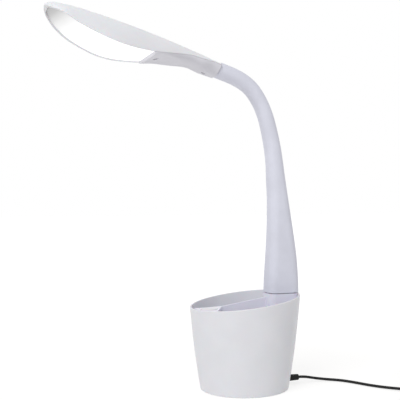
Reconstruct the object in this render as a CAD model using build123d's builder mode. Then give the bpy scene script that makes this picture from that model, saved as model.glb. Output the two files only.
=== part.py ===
from build123d import *
import os
from math import cos, pi, radians, sin, sqrt, tan

# Hobby lamp with a pen pot base, in millimetres.
# The origin is on the pot's axis at the floor and Z is up. The head reaches towards -Y,
# and the arm and the cord are at +Y.

# Fits
clearance = 0.3
close_fit = 0.15
overrun = 20.0

# Pot
pot_base_radius = 51.4
pot_middle_radius = 64.4
pot_middle_height = 102.6
pot_belly = 1.24
pot_rim_tilt = 6.7
pot_wall = 2.2
pot_bottom_edge = 0.8
pot_rim_edge = 0.8
seat_ring_width = 3.0
seat_ring_height = 2.5
bottom_lip_width = 2.5
bottom_lip_height = 2.0

# Pot's underside
pad_radius = 35.0
pad_thickness = 0.8
pad_proud = 0.4
cover_plate_thickness = 2.2
boss_radius = 4.0
boss_circle_radius = 40.0
boss_count = 4
boss_start_angle = 45.0
ballast_thickness = 7.0

# Pot's insert
insert_floor_height = 34.0
insert_floor_thickness = 2.0
divider_thickness = 2.0
divider_end_height = 105.2
ledge_middle_height = 97.2
ledge_tilt = 1.6
ledge_thickness = 2.0
ledge_start_share = 0.43
ledge_reach_share = 0.621
ledge_end_share = 0.733
ledge_start = ledge_start_share * pot_middle_radius
ledge_reach = ledge_reach_share * pot_middle_radius
ledge_end = ledge_end_share * pot_middle_radius
guide_depth = 8.0
guide_thickness = 2.0

# Tower that carries the arm
tower_width = 31.0
tower_depth = 38.4
tower_corner = 9.0
tower_overhang = 0.7
tower_back = pot_middle_radius + tower_overhang
tower_top = 109.5
tower_wall = 2.4
tower_cap_height = 6.2

# Power button and its switch
button_x_share = 0.202
button_y_share = -0.736
button_radius_share = 0.1475
button_x = button_x_share * pot_middle_radius
button_y = button_y_share * pot_middle_radius
button_radius = button_radius_share * pot_middle_radius
button_height = 3.0
button_rise = 0.6
button_travel = 1.2
button_edge = 0.5
button_bevel = 0.8
bevel_angle = 45.0
stem_radius = 3.0
stem_length = 11.0
switch_side = 6.0
switch_height = 4.3
switch_plunger_radius = 1.75
switch_plunger_height = 0.8
switch_board_width = 16.0
switch_board_depth = 9.0
switch_post_radius = 1.6

# Control board, hung under the insert's floor
board_thickness = 1.6
control_board_width = 50.0
control_board_depth = 36.0
control_board_gap = 4.5
control_post_inset = 4.0
control_post_radius = 2.5
capacitor_radius = 4.0
capacitor_height = 11.0
inductor_radius = 6.0
inductor_core_radius = 2.5
inductor_height = 7.0
board_part_spacing = 12.0

# Socket and plug
jack_height = 7.0
jack_width = 9.0
jack_box_height = 10.8
jack_depth = 13.5
jack_nose_radius = 3.8
jack_bore_radius = 2.75
jack_bore_depth = 9.5
jack_pin_radius = 0.95
plug_radius = 4.0
plug_end_radius = 3.5
plug_length = 14.5
strain_relief_length = 1.0
plug_barrel_radius = 2.65
plug_barrel_bore = 1.15

# Small screws
screw_shank_radius = 1.3
screw_head_radius = 2.5
screw_head_height = 1.5
screw_length = 9.0
screw_slot_width = 0.7
screw_slot_depth = 0.8

# Fixing of the arm
ferrule_flange_radius = 11.0
ferrule_flange_height = 2.0
ferrule_shaft_radius = 6.0
ferrule_shaft_length = 17.5
ferrule_socket_depth = 7.5
ferrule_lead_radius = 1.5
washer_radius = 12.0
washer_thickness = 2.0
nut_radius = 11.0
nut_height = 6.1

# Arm: its axis climbs and then bends forward to the neck
arm_rise = 258.8
arm_reach = 76.6
neck_tilt = 24.1
sleeve_corner_share = 0.45
seam_gap = 1.1
seam_depth = 1.2
sleeve_bore_radius = 6.2
core_rod_radius = 3.0
core_neck_radius = 2.0
core_neck_length = 5.0
core_ball_radius = 3.9
core_ball_clearance = 0.25
core_socket_radius = 5.6
core_socket_rim = 1.5
core_flare_length = 8.5
core_flare_end = 4.5
core_end_insertion = 4.0
arm_bend_angle = 12.0

# Each row: reach, rise, depth and width of the sleeve, as shares of the arm's reach and rise
# and of the tower's depth and width
arm_station_shares = (
    (0.000, 0.000, 1.000, 1.000),
    (-0.001, 0.079, 0.971, 0.968),
    (0.000, 0.151, 0.911, 0.935),
    (0.009, 0.224, 0.828, 0.903),
    (0.022, 0.296, 0.740, 0.871),
    (0.040, 0.369, 0.659, 0.839),
    (0.060, 0.442, 0.589, 0.806),
    (0.087, 0.516, 0.542, 0.790),
    (0.109, 0.589, 0.480, 0.774),
    (0.144, 0.663, 0.450, 0.758),
    (0.194, 0.734, 0.430, 0.742),
    (0.259, 0.804, 0.410, 0.742),
    (0.358, 0.870, 0.400, 0.755),
    (0.510, 0.931, 0.410, 0.774),
    (0.730, 0.973, 0.440, 0.790),
    (1.0475, 1.0063, 0.448, 0.806),
)

# Each row: a joint's reach and rise, and the radius of its ball cut as a share of the tower's
# half depth
joint_shares = (
    (0.030, 0.334, 0.885),
    (0.073, 0.481, 0.781),
    (0.134, 0.628, 0.708),
    (0.224, 0.759, 0.693),
    (0.358, 0.870, 0.693),
    (0.561, 0.943, 0.729),
)

# Head: its ridge falls from the tip to the neck
head_length = 202.4
head_drop = 60.5
head_neck_offset = 7.54
head_neck_rise = 5.57
head_arch_radius = 61.0
head_wall = 2.0
arch_half_angle = 75.0
nose_share = 0.1
diffuser_lift = 1.4
diffuser_thickness = 2.0
diffuser_lift_angle = 60.0
diffuser_end_share = 0.559

# Each row: place along the head, the falls of the rim and the ridge below the head's top, the
# arch's radius and the neck cover's depth, as shares of the head's length and drop, the usual
# radius and the full depth
head_station_shares = (
    (0.000, 0.107, 0.107, 0.150, 0.0),
    (0.005, 0.145, 0.078, 0.298, 0.0),
    (0.016, 0.190, 0.064, 0.538, 0.0),
    (0.026, 0.223, 0.058, 0.670, 0.0),
    (0.045, 0.278, 0.055, 0.875, 0.0),
    (0.065, 0.331, 0.063, 1.025, 0.0),
    (0.085, 0.382, 0.078, 1.110, 0.0),
    (0.105, 0.431, 0.089, 1.131, 0.0),
    (0.144, 0.527, 0.109, 1.080, 0.0),
    (0.194, 0.621, 0.145, 1.057, 0.0),
    (0.243, 0.702, 0.185, 1.043, 0.0),
    (0.317, 0.805, 0.248, 1.023, 0.0),
    (0.391, 0.873, 0.316, 0.964, 0.0),
    (0.465, 0.909, 0.385, 0.867, 0.0),
    (0.537, 0.926, 0.456, 0.779, 0.02),
    (0.614, 0.926, 0.537, 0.697, 0.078),
    (0.678, 0.917, 0.607, 0.615, 0.245),
    (0.732, 0.907, 0.669, 0.557, 0.44),
    (0.792, 0.909, 0.738, 0.500, 0.54),
    (0.838, 0.941, 0.793, 0.475, 0.64),
    (0.880, 0.962, 0.845, 0.466, 0.80),
    (0.924, 0.982, 0.902, 0.459, 0.915),
    (0.964, 1.022, 0.953, 0.459, 0.94),
    (0.999, 1.056, 0.999, 0.459, 0.965),
    (1.033, 1.090, 1.044, 0.459, 0.98),
)
first_cover_station = 14
first_trough_station = 16

# Neck cover
neck_cover_depth = 15.3
neck_cover_wall = 2.0
neck_cover_gap = 0.25
cover_tongue_above = 2.0
cover_tongue_below = 0.6
cover_side_shares = ((1.0, 0.0), (0.97, 0.55), (0.68, 0.93), (0.0, 1.0))
trough_rise = 4.0
front_screw_share = 0.602
back_screw_share = 0.882
back_screw_depth_share = 0.80
front_boss_rise = 6.0
back_boss_rise = 9.0
cover_boss_radius = 4.5
shell_boss_radius = 3.0
screw_hole_radius = 2.75
boss_floor_thickness = 2.0

# Light board in the head
led_board_width = 50.0
led_board_length = 96.0
led_board_thickness = 1.2
led_board_place_share = 0.342
led_board_slope = 15.0
led_board_drop = 9.0
led_side = 3.0
led_height = 1.0
led_columns = 4
led_rows = 6
led_column_spacing = 12.0
led_row_spacing = 14.0
led_post_radius = 2.5
led_post_inset = 6.0

# Collar at the neck
collar_plug_width = 14.0
collar_plug_height = 9.0
collar_plug_corner = 3.5
collar_plug_length = 4.5

# Leads
lead_radius = 1.0
lead_bend_radius = 1.5
head_lead_bend_radius = 3.0
head_lead_turn = 4.0
head_lead_pass = 16.0

# Cord
cord_radius = 2.0
cord_arc_share = 0.45
cord_lead_out = 7.0
coil_lead_in = 18.0
coil_lead_out = 11.6
coil_centre_x = 83.4
coil_centre_y = 201.3
coil_radius = 27.0
coil_pitch = 4.5
coil_layer_turns = 2.25
coil_last_turns = 2.5
coil_layers = 4
coil_start_angle = -52.0
coil_base_height = 3.2
coil_steps_per_turn = 4
tie_angle = 128.0
tie_thickness = 0.8
tie_width = 5.0
tie_gap = 0.2
tie_corner = 2.5

# Adapter at the cord's far end
adapter_length = 60.0
adapter_width = 36.0
adapter_height = 26.0
adapter_edge = 4.0
adapter_nose_length = 8.0
adapter_nose_radius = 3.4
adapter_pin_radius = 2.0
adapter_pin_length = 19.0
adapter_pin_spacing = 19.0

os.makedirs("parts", exist_ok=True)


def keep(piece, name):
    """Label a finished piece and write its own STEP file."""
    piece.part.label = name
    export_step(piece.part, f"parts/{name}.step")


def pot_radius(height):
    """The pot's outer radius at a height: it widens upwards in a slight belly."""
    share = height / pot_middle_height
    widening = (pot_middle_radius - pot_base_radius) * share
    return pot_base_radius + widening + 4 * pot_belly * share * (1 - share)


def bore_radius(height):
    """The pot's inner radius at a height."""
    return pot_radius(height) - pot_wall


def fitted_radius(height):
    """The radius of what stands inside the pot at a height."""
    return bore_radius(height) - clearance


def make_screw(name, seat, head_radius=screw_head_radius, length=screw_length):
    """A cross-head screw: its head lies under the seat plane, its shank runs along the normal."""
    with BuildPart() as screw:
        with BuildSketch(seat.offset(-screw_head_height)):
            Circle(head_radius)
        extrude(amount=screw_head_height)
        with BuildSketch(seat):
            Circle(screw_shank_radius)
        extrude(amount=length)
        with BuildSketch(seat.offset(-screw_head_height)):
            Rectangle(head_radius, screw_slot_width)
            Rectangle(screw_slot_width, head_radius)
        extrude(amount=screw_slot_depth, mode=Mode.SUBTRACT)
    keep(screw, name)


# Heights in the pot, from the floor up
cover_bottom = pad_proud
cover_top = cover_bottom + cover_plate_thickness
ballast_top = cover_top + ballast_thickness
insert_bottom = insert_floor_height - insert_floor_thickness
control_board_bottom = ballast_top + control_board_gap
control_board_top = control_board_bottom + board_thickness
tower_y = tower_back - tower_depth / 2
tower_front = tower_back - tower_depth
cap_bottom = tower_top - tower_cap_height
plate_bottom = tower_top - tower_wall
rim_plane = Plane(
    origin=(0, 0, pot_middle_height),
    x_dir=(1, 0, 0),
    z_dir=(0, -sin(radians(pot_rim_tilt)), cos(radians(pot_rim_tilt))),
)
ledge_plane = Plane(
    origin=(0, 0, ledge_middle_height),
    x_dir=(1, 0, 0),
    z_dir=(0, -sin(radians(ledge_tilt)), cos(radians(ledge_tilt))),
)
ledge_slope = tan(radians(ledge_tilt))
above_rim = pot_middle_height + overrun


# Pot shell
with BuildPart() as pot_shell:
    seat_under = insert_bottom - seat_ring_height
    lip_top = cover_top + bottom_lip_height
    with BuildSketch(Plane.XZ):
        with BuildLine():
            middle = (cover_bottom + above_rim) / 2
            ThreePointArc(
                (pot_radius(cover_bottom), cover_bottom),
                (pot_radius(middle), middle),
                (pot_radius(above_rim), above_rim),
            )
            middle = (insert_bottom + above_rim) / 2
            ThreePointArc(
                (bore_radius(above_rim), above_rim),
                (bore_radius(middle), middle),
                (bore_radius(insert_bottom), insert_bottom),
            )
            Line((pot_radius(above_rim), above_rim), (bore_radius(above_rim), above_rim))
            Polyline(
                (bore_radius(insert_bottom), insert_bottom),
                (bore_radius(insert_bottom) - seat_ring_width, insert_bottom),
                (bore_radius(insert_bottom) - seat_ring_width, seat_under),
                (bore_radius(seat_under - seat_ring_width), seat_under - seat_ring_width),
                (bore_radius(lip_top), lip_top),
                (bore_radius(lip_top) - bottom_lip_width, lip_top),
                (bore_radius(lip_top) - bottom_lip_width, cover_top),
                (bore_radius(cover_top), cover_top),
                (bore_radius(cover_bottom), cover_bottom),
                (pot_radius(cover_bottom), cover_bottom),
            )
        make_face()
    revolve(axis=Axis.Z)
    bottom_edges = pot_shell.edges().filter_by(GeomType.CIRCLE).group_by(Axis.Z)[0]
    fillet(bottom_edges.sort_by(SortBy.RADIUS)[-1], radius=pot_bottom_edge)
    split(bisect_by=rim_plane, keep=Keep.BOTTOM)
    fillet(pot_shell.faces().sort_by(Axis.Z)[-1].edges(), radius=pot_rim_edge)
    with BuildSketch(Plane.XY.offset(cap_bottom - clearance)):
        with Locations((0, tower_y)):
            RectangleRounded(
                tower_width + 2 * clearance, tower_depth + 2 * clearance, tower_corner + clearance
            )
    extrude(amount=overrun, mode=Mode.SUBTRACT)
    with BuildSketch(Plane.XZ.offset(-pot_base_radius + pot_wall + bottom_lip_width + clearance)):
        with Locations((0, jack_height)):
            Circle(jack_nose_radius + clearance)
    extrude(amount=-overrun, mode=Mode.SUBTRACT)
keep(pot_shell, "pot_shell")


# Pot insert: floor, divider, switch ledge and tower in one moulding
def ledge_outline(plane):
    """The ledge's outline on a plane: divider, slanted back edge and the pot's wall beyond."""
    with BuildSketch(plane) as outline:
        with BuildLine():
            Polyline(
                (0, -ledge_start),
                (ledge_reach, -ledge_end),
                (ledge_reach, -pot_radius(above_rim)),
                (0, -pot_radius(above_rim)),
                close=True,
            )
        make_face()
    return outline.sketch


button_plane = Plane(
    origin=ledge_plane.from_local_coords((button_x, button_y / cos(radians(ledge_tilt)), 0)),
    x_dir=ledge_plane.x_dir,
    z_dir=ledge_plane.z_dir,
)
guide_bottom = guide_depth + guide_thickness
stem_end = button_height - button_rise + stem_length
switch_top = stem_end + button_travel + clearance
switch_board_top = switch_top + switch_plunger_height + switch_height
switch_post_x = switch_board_width / 2 - switch_post_radius
control_post_x = control_board_width / 2 - control_post_inset
control_post_y = control_board_depth / 2 - control_post_inset
with BuildPart() as pot_space:
    with BuildSketch(Plane.XZ):
        with BuildLine():
            middle = (insert_bottom + above_rim) / 2
            ThreePointArc(
                (fitted_radius(insert_bottom), insert_bottom),
                (fitted_radius(middle), middle),
                (fitted_radius(above_rim), above_rim),
            )
            Polyline(
                (fitted_radius(above_rim), above_rim),
                (0, above_rim),
                (0, insert_bottom),
                (fitted_radius(insert_bottom), insert_bottom),
            )
        make_face()
    revolve(axis=Axis.Z)
    split(bisect_by=rim_plane, keep=Keep.BOTTOM)

with BuildPart() as pot_insert:
    with BuildSketch(Plane.XY.offset(insert_bottom)):
        Circle(pot_radius(above_rim))
    extrude(amount=insert_floor_thickness)
    with BuildSketch(Plane.XY.offset(insert_bottom)):
        divider_length = pot_radius(above_rim) + tower_front + tower_wall
        with Locations((0, tower_front + tower_wall - divider_length / 2)):
            Rectangle(divider_thickness, divider_length)
    extrude(amount=above_rim - insert_bottom)
    with BuildSketch(Plane.XY.offset(insert_bottom)):
        with BuildLine():
            Polyline(
                (0, -ledge_start),
                (ledge_reach, -ledge_end),
                (ledge_reach, -ledge_end - ledge_thickness),
                (0, -ledge_start - ledge_thickness),
                close=True,
            )
        make_face()
    extrude(amount=above_rim - insert_bottom)
    extrude(ledge_outline(ledge_plane), amount=-ledge_thickness)
    extrude(ledge_outline(ledge_plane.offset(-guide_depth)), amount=-guide_thickness)
    front = pot_radius(above_rim)
    with BuildSketch(Plane.YZ):
        with BuildLine():
            Polyline(
                (-front, ledge_middle_height - ledge_slope * front),
                (-ledge_start, ledge_middle_height - ledge_slope * ledge_start),
                (tower_front + tower_wall, divider_end_height),
                (tower_front + tower_wall, above_rim + overrun),
                (-front, above_rim + overrun),
                close=True,
            )
        make_face()
    extrude(amount=front, both=True, mode=Mode.SUBTRACT)
    with BuildSketch(Plane.XY.offset(insert_bottom)):
        with Locations((0, tower_y)):
            RectangleRounded(tower_width, tower_depth, tower_corner)
    extrude(amount=above_rim - insert_bottom)
    add(pot_space.part, mode=Mode.INTERSECT)
    with BuildSketch(Plane.XY.offset(cap_bottom)):
        with Locations((0, tower_y)):
            RectangleRounded(tower_width, tower_depth, tower_corner)
    extrude(amount=tower_cap_height)
    with BuildSketch(Plane.XY.offset(tower_top)):
        with Locations((0, tower_y)):
            RectangleRounded(tower_width + overrun, tower_depth + overrun, tower_corner)
    extrude(amount=overrun, mode=Mode.SUBTRACT)
    with BuildSketch(Plane.XY.offset(insert_bottom)):
        with Locations((0, tower_y)):
            RectangleRounded(
                tower_width - 2 * tower_wall, tower_depth - 2 * tower_wall, tower_corner - tower_wall
            )
    extrude(amount=plate_bottom - insert_bottom, mode=Mode.SUBTRACT)
    with BuildSketch(Plane.XY.offset(plate_bottom)):
        with Locations((0, tower_y)):
            Circle(ferrule_shaft_radius + clearance)
    extrude(amount=tower_wall, mode=Mode.SUBTRACT)
    with BuildSketch(button_plane):
        Circle(button_radius + clearance)
    extrude(amount=-ledge_thickness, mode=Mode.SUBTRACT)
    with BuildSketch(button_plane):
        Circle(button_radius + clearance + button_bevel)
    extrude(amount=-button_bevel, taper=bevel_angle, mode=Mode.SUBTRACT)
    with BuildSketch(button_plane.offset(-guide_depth)):
        Circle(stem_radius + clearance)
    extrude(amount=-guide_thickness, mode=Mode.SUBTRACT)
    with BuildSketch(button_plane.offset(-guide_bottom)):
        with Locations((switch_post_x, 0), (-switch_post_x, 0)):
            Circle(switch_post_radius)
    extrude(amount=-(switch_board_top - guide_bottom))
    with BuildSketch(Plane.XY.offset(cover_top)):
        with PolarLocations(boss_circle_radius, boss_count, start_angle=boss_start_angle):
            Circle(boss_radius)
    extrude(amount=insert_bottom - cover_top)
    with BuildSketch(Plane.XY.offset(control_board_top)):
        with GridLocations(2 * control_post_x, 2 * control_post_y, 2, 2):
            Circle(control_post_radius)
    extrude(amount=insert_bottom - control_board_top)
    with BuildSketch(Plane.XY.offset(cover_top)):
        with PolarLocations(boss_circle_radius, boss_count, start_angle=boss_start_angle):
            Circle(screw_shank_radius)
    extrude(amount=screw_length, mode=Mode.SUBTRACT)
    with BuildSketch(Plane.XY.offset(control_board_top)):
        with GridLocations(2 * control_post_x, 2 * control_post_y, 2, 2):
            Circle(screw_shank_radius)
    extrude(amount=screw_length, mode=Mode.SUBTRACT)
keep(pot_insert, "pot_insert")


# Power button, with its stem through the guide
with BuildPart() as power_button:
    with BuildSketch(button_plane.offset(button_rise)):
        Circle(button_radius)
    extrude(amount=-button_height)
    fillet(power_button.faces().sort_by(Axis.Z)[-1].edges(), radius=button_edge)
    with BuildSketch(button_plane.offset(button_rise - button_height)):
        Circle(stem_radius)
    extrude(amount=-stem_length)
keep(power_button, "power_button")


# Switch under the button
with BuildPart() as key_switch:
    with BuildSketch(button_plane.offset(-switch_board_top)):
        Rectangle(switch_side, switch_side)
    extrude(amount=switch_height)
    with BuildSketch(button_plane.offset(-switch_board_top + switch_height)):
        Circle(switch_plunger_radius)
    extrude(amount=switch_plunger_height)
keep(key_switch, "key_switch")

with BuildPart() as switch_board:
    with BuildSketch(button_plane.offset(-switch_board_top)):
        Rectangle(switch_board_width, switch_board_depth)
    extrude(amount=-board_thickness)
keep(switch_board, "switch_board")


# Underside of the pot
with BuildPart() as base_pad:
    with BuildSketch():
        Circle(pad_radius)
    extrude(amount=pad_thickness)
keep(base_pad, "base_pad")

with BuildPart() as base_cover:
    with BuildSketch(Plane.XY.offset(cover_bottom)):
        Circle(fitted_radius(cover_bottom))
    extrude(amount=cover_plate_thickness)
    with BuildSketch(Plane.XY.offset(cover_bottom)):
        with PolarLocations(boss_circle_radius, boss_count, start_angle=boss_start_angle):
            Circle(screw_head_radius + clearance)
    extrude(amount=screw_head_height, mode=Mode.SUBTRACT)
    with BuildSketch(Plane.XY.offset(cover_bottom + screw_head_height)):
        with PolarLocations(boss_circle_radius, boss_count, start_angle=boss_start_angle):
            Circle(screw_shank_radius + close_fit)
    extrude(amount=cover_plate_thickness - screw_head_height, mode=Mode.SUBTRACT)
    with BuildSketch(Plane.XY.offset(cover_bottom)):
        Circle(pad_radius + clearance)
    extrude(amount=pad_thickness - pad_proud, mode=Mode.SUBTRACT)
keep(base_cover, "base_cover")

ballast_radius = bore_radius(cover_top + bottom_lip_height) - bottom_lip_width - clearance
jack_front = pot_base_radius - pot_wall - bottom_lip_width - clearance
jack_back = jack_front - jack_depth
ballast_flat = jack_back - clearance
with BuildPart() as ballast_plate:
    with BuildSketch(Plane.XY.offset(cover_top)):
        Circle(ballast_radius)
        with Locations((0, ballast_flat + ballast_radius / 2)):
            Rectangle(2 * ballast_radius, ballast_radius, mode=Mode.SUBTRACT)
        with PolarLocations(boss_circle_radius, boss_count, start_angle=boss_start_angle):
            Circle(boss_radius + clearance, mode=Mode.SUBTRACT)
    extrude(amount=ballast_thickness)
keep(ballast_plate, "ballast_plate")

for number in range(boss_count):
    angle = radians(boss_start_angle + number * 360 / boss_count)
    screw_x = boss_circle_radius * cos(angle)
    screw_y = boss_circle_radius * sin(angle)
    make_screw(
        f"base_screw_{number + 1}",
        Plane.XY.offset(cover_bottom + screw_head_height).shift_origin(
            (screw_x, screw_y, cover_bottom + screw_head_height)
        ),
    )


# Control board with its larger parts
with BuildPart() as control_board:
    with BuildSketch(Plane.XY.offset(control_board_bottom)):
        Rectangle(control_board_width, control_board_depth)
        with GridLocations(2 * control_post_x, 2 * control_post_y, 2, 2):
            Circle(screw_shank_radius + close_fit, mode=Mode.SUBTRACT)
    extrude(amount=board_thickness)
keep(control_board, "control_board")

with BuildPart() as board_capacitor:
    with BuildSketch(Plane.XY.offset(control_board_top)):
        with Locations((-board_part_spacing, 0)):
            Circle(capacitor_radius)
    extrude(amount=capacitor_height)
keep(board_capacitor, "board_capacitor")

with BuildPart() as board_inductor:
    with BuildSketch(Plane.XY.offset(control_board_top)):
        with Locations((board_part_spacing, 0)):
            Circle(inductor_radius)
            Circle(inductor_core_radius, mode=Mode.SUBTRACT)
    extrude(amount=inductor_height)
keep(board_inductor, "board_inductor")

for number, side in enumerate((-1, 1)):
    make_screw(
        f"board_screw_{number + 1}",
        Plane(origin=(side * control_post_x, side * control_post_y, control_board_bottom)),
    )


# Socket low at the back of the pot
jack_mouth = pot_radius(jack_height) - clearance
with BuildPart() as dc_jack:
    with BuildSketch(Plane.XZ.offset(-jack_back)):
        with Locations((0, cover_top)):
            Rectangle(jack_width, jack_box_height, align=(Align.CENTER, Align.MIN))
    extrude(amount=-jack_depth)
    with BuildSketch(Plane.XZ.offset(-jack_front)):
        with Locations((0, jack_height)):
            Circle(jack_nose_radius)
    extrude(amount=-(jack_mouth - jack_front))
    with BuildSketch(Plane.XZ.offset(-jack_mouth)):
        with Locations((0, jack_height)):
            Circle(jack_bore_radius)
    extrude(amount=jack_bore_depth, mode=Mode.SUBTRACT)
    with BuildSketch(Plane.XZ.offset(-(jack_mouth - jack_bore_depth))):
        with Locations((0, jack_height)):
            Circle(jack_pin_radius)
    extrude(amount=-(jack_bore_depth - clearance))
keep(dc_jack, "dc_jack")

lead_height = ballast_top + lead_radius + clearance
with BuildPart() as base_lead:
    with BuildLine() as base_lead_path:
        FilletPolyline(
            (0, jack_back, lead_height),
            (0, control_post_y, lead_height),
            (0, control_post_y, control_board_bottom),
            radius=lead_bend_radius,
        )
    with BuildSketch(Plane(origin=base_lead_path.line @ 0, z_dir=base_lead_path.line % 0)):
        Circle(lead_radius)
    sweep()
keep(base_lead, "base_lead")


# Fixing of the arm on the tower
with BuildPart() as arm_ferrule:
    with BuildSketch(Plane.XY.offset(tower_top)):
        with Locations((0, tower_y)):
            Circle(ferrule_flange_radius)
    extrude(amount=ferrule_flange_height)
    with BuildSketch(Plane.XY.offset(tower_top)):
        with Locations((0, tower_y)):
            Circle(ferrule_shaft_radius)
    extrude(amount=-ferrule_shaft_length)
    with BuildSketch(Plane.XY.offset(tower_top + ferrule_flange_height)):
        with Locations((0, tower_y)):
            Circle(core_rod_radius + clearance)
    extrude(amount=-ferrule_socket_depth, mode=Mode.SUBTRACT)
    with BuildSketch(Plane.XY.offset(tower_top - ferrule_shaft_length)):
        with Locations((0, tower_y)):
            Circle(ferrule_lead_radius)
    extrude(amount=ferrule_shaft_length, mode=Mode.SUBTRACT)
keep(arm_ferrule, "arm_ferrule")

with BuildPart() as arm_washer:
    with BuildSketch(Plane.XY.offset(plate_bottom - washer_thickness)):
        with Locations((0, tower_y)):
            Circle(washer_radius)
            Circle(ferrule_shaft_radius + close_fit, mode=Mode.SUBTRACT)
    extrude(amount=washer_thickness)
keep(arm_washer, "arm_washer")

with BuildPart() as arm_nut:
    with BuildSketch(Plane.XY.offset(plate_bottom - washer_thickness - nut_height)):
        with Locations((0, tower_y)):
            RegularPolygon(nut_radius, 6)
            Circle(ferrule_shaft_radius, mode=Mode.SUBTRACT)
    extrude(amount=nut_height)
keep(arm_nut, "arm_nut")


# Arm: one tapered sleeve over a core of ball links, cut at the links' joints
def arm_point(reach_share, rise_share):
    """A point of the arm's axis from its shares."""
    return Vector(0, tower_y - reach_share * arm_reach, tower_top + rise_share * arm_rise)


def cross_plane(origin, direction):
    """The plane across the arm at a point, with X along its own first axis."""
    return Plane(origin=origin, x_dir=(1, 0, 0), z_dir=direction)


def span_plane(origin, direction):
    """The plane through the arm's line at a point, with Y of the plane along the line."""
    return Plane(origin=origin, x_dir=(1, 0, 0), z_dir=(0, -direction.Z, direction.Y))


axis_points = [arm_point(reach, rise) for reach, rise, depth, width in arm_station_shares]
neck_point = axis_points[-1]
neck_direction = Vector(0, -cos(radians(neck_tilt)), sin(radians(neck_tilt)))
seam_plane = cross_plane(neck_point, neck_direction)
axis_directions = [Vector(0, 0, 1)]
for before, after in zip(axis_points[:-2], axis_points[2:]):
    axis_directions.append((after - before).normalized())
axis_directions.append(neck_direction)


def section_corner(row):
    """The sleeve's corner radius at one of its stations."""
    return min(tower_corner, sleeve_corner_share * tower_depth * row[2])


with BuildPart() as sleeve:
    for point, direction, row in zip(axis_points, axis_directions, arm_station_shares):
        with BuildSketch(cross_plane(point, direction)):
            RectangleRounded(tower_width * row[3], tower_depth * row[2], section_corner(row))
    loft()
    split(bisect_by=Plane.XY.offset(tower_top + seam_gap), keep=Keep.TOP)
    split(bisect_by=seam_plane.offset(-seam_gap), keep=Keep.BOTTOM)

joint_points = [arm_point(reach, rise) for reach, rise, radius in joint_shares]
ball_radii = [radius * tower_depth / 2 for reach, rise, radius in joint_shares]
core_start = Vector(0, tower_y, tower_top + ferrule_flange_height - ferrule_socket_depth + clearance)
core_end = neck_point + neck_direction * core_end_insertion
core_points = [core_start] + joint_points + [core_end]
core_directions = [
    (after - before).normalized() for before, after in zip(core_points[:-1], core_points[1:])
]
joint_planes = []
for before, after, point in zip(core_directions[:-1], core_directions[1:], joint_points):
    joint_planes.append(cross_plane(point, (before + after).normalized()))
last_link = len(joint_points)


def round_section(start, direction, radius):
    """A round section across a line at its start."""
    with BuildSketch(cross_plane(start, direction)) as section:
        Circle(radius)
    return section.sketch


for number in range(last_link + 1):
    start_point = core_points[number]
    direction = core_directions[number]
    if number < last_link:
        with BuildPart() as dome:
            add(sleeve.part)
            with Locations(joint_points[number]):
                Sphere(ball_radii[number], mode=Mode.INTERSECT)
            split(bisect_by=joint_planes[number], keep=Keep.TOP)
    with BuildPart() as segment:
        add(sleeve.part)
        if number > 0:
            split(bisect_by=joint_planes[number - 1], keep=Keep.TOP)
        if number < last_link:
            split(bisect_by=joint_planes[number], keep=Keep.BOTTOM)
            add(dome.part)
        if number > 0:
            with Locations(joint_points[number - 1]):
                Sphere(ball_radii[number - 1] + clearance, mode=Mode.SUBTRACT)
        if number < last_link:
            reach = (joint_points[number] - start_point).length
            section = round_section(start_point, direction, sleeve_bore_radius)
            extrude(section, amount=reach, mode=Mode.SUBTRACT)
            with Locations(joint_points[number]):
                Sphere(sleeve_bore_radius + clearance, mode=Mode.SUBTRACT)
            next_direction = core_directions[number + 1]
            swing = ball_radii[number] * sin(radians(arm_bend_angle))
            mouth_radius = max(sleeve_bore_radius, swing + core_rod_radius + clearance)
            section = round_section(joint_points[number], next_direction, mouth_radius)
            extrude(section, amount=overrun, mode=Mode.SUBTRACT)
        else:
            section = round_section(start_point, direction, core_rod_radius + clearance)
            extrude(section, amount=arm_reach, mode=Mode.SUBTRACT)
        if number == 0:
            with BuildSketch(Plane.XY.offset(tower_top)):
                with Locations((0, tower_y)):
                    RectangleRounded(
                        tower_width - 2 * seam_depth,
                        tower_depth - 2 * seam_depth,
                        tower_corner - seam_depth,
                    )
            extrude(amount=seam_gap)
            with BuildSketch(Plane.XY.offset(tower_top)):
                with Locations((0, tower_y)):
                    Circle(ferrule_flange_radius + clearance)
            extrude(amount=ferrule_flange_height + clearance, mode=Mode.SUBTRACT)
    keep(segment, f"sleeve_{number}")

for number in range(last_link + 1):
    length = (core_points[number + 1] - core_points[number]).length
    plane = span_plane(core_points[number], core_directions[number])
    cavity_radius = core_ball_radius + core_ball_clearance
    opening_radius = sqrt(cavity_radius**2 - core_socket_rim**2)
    with BuildPart() as link:
        with BuildSketch(plane):
            with BuildLine():
                if number > 0:
                    neck_start = sqrt(core_ball_radius**2 - core_neck_radius**2)
                    ThreePointArc(
                        (0, -core_ball_radius), (core_ball_radius, 0), (core_neck_radius, neck_start)
                    )
                    Polyline(
                        (core_neck_radius, neck_start),
                        (core_neck_radius, core_neck_length),
                        (core_rod_radius, core_neck_length),
                    )
                    foot = (core_rod_radius, core_neck_length)
                    bottom = (0, -core_ball_radius)
                else:
                    Line((0, 0), (core_rod_radius, 0))
                    foot = (core_rod_radius, 0)
                    bottom = (0, 0)
                if number < last_link:
                    Polyline(
                        foot,
                        (core_rod_radius, length - core_flare_length),
                        (core_socket_radius, length - core_flare_end),
                        (core_socket_radius, length + core_socket_rim),
                        (opening_radius, length + core_socket_rim),
                    )
                    ThreePointArc(
                        (opening_radius, length + core_socket_rim),
                        (cavity_radius, length),
                        (0, length - cavity_radius),
                    )
                    Line((0, length - cavity_radius), bottom)
                else:
                    Polyline(foot, (core_rod_radius, length), (0, length), bottom)
            make_face()
        revolve(axis=Axis(core_points[number], core_directions[number]))
    keep(link, f"core_{number}")


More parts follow.
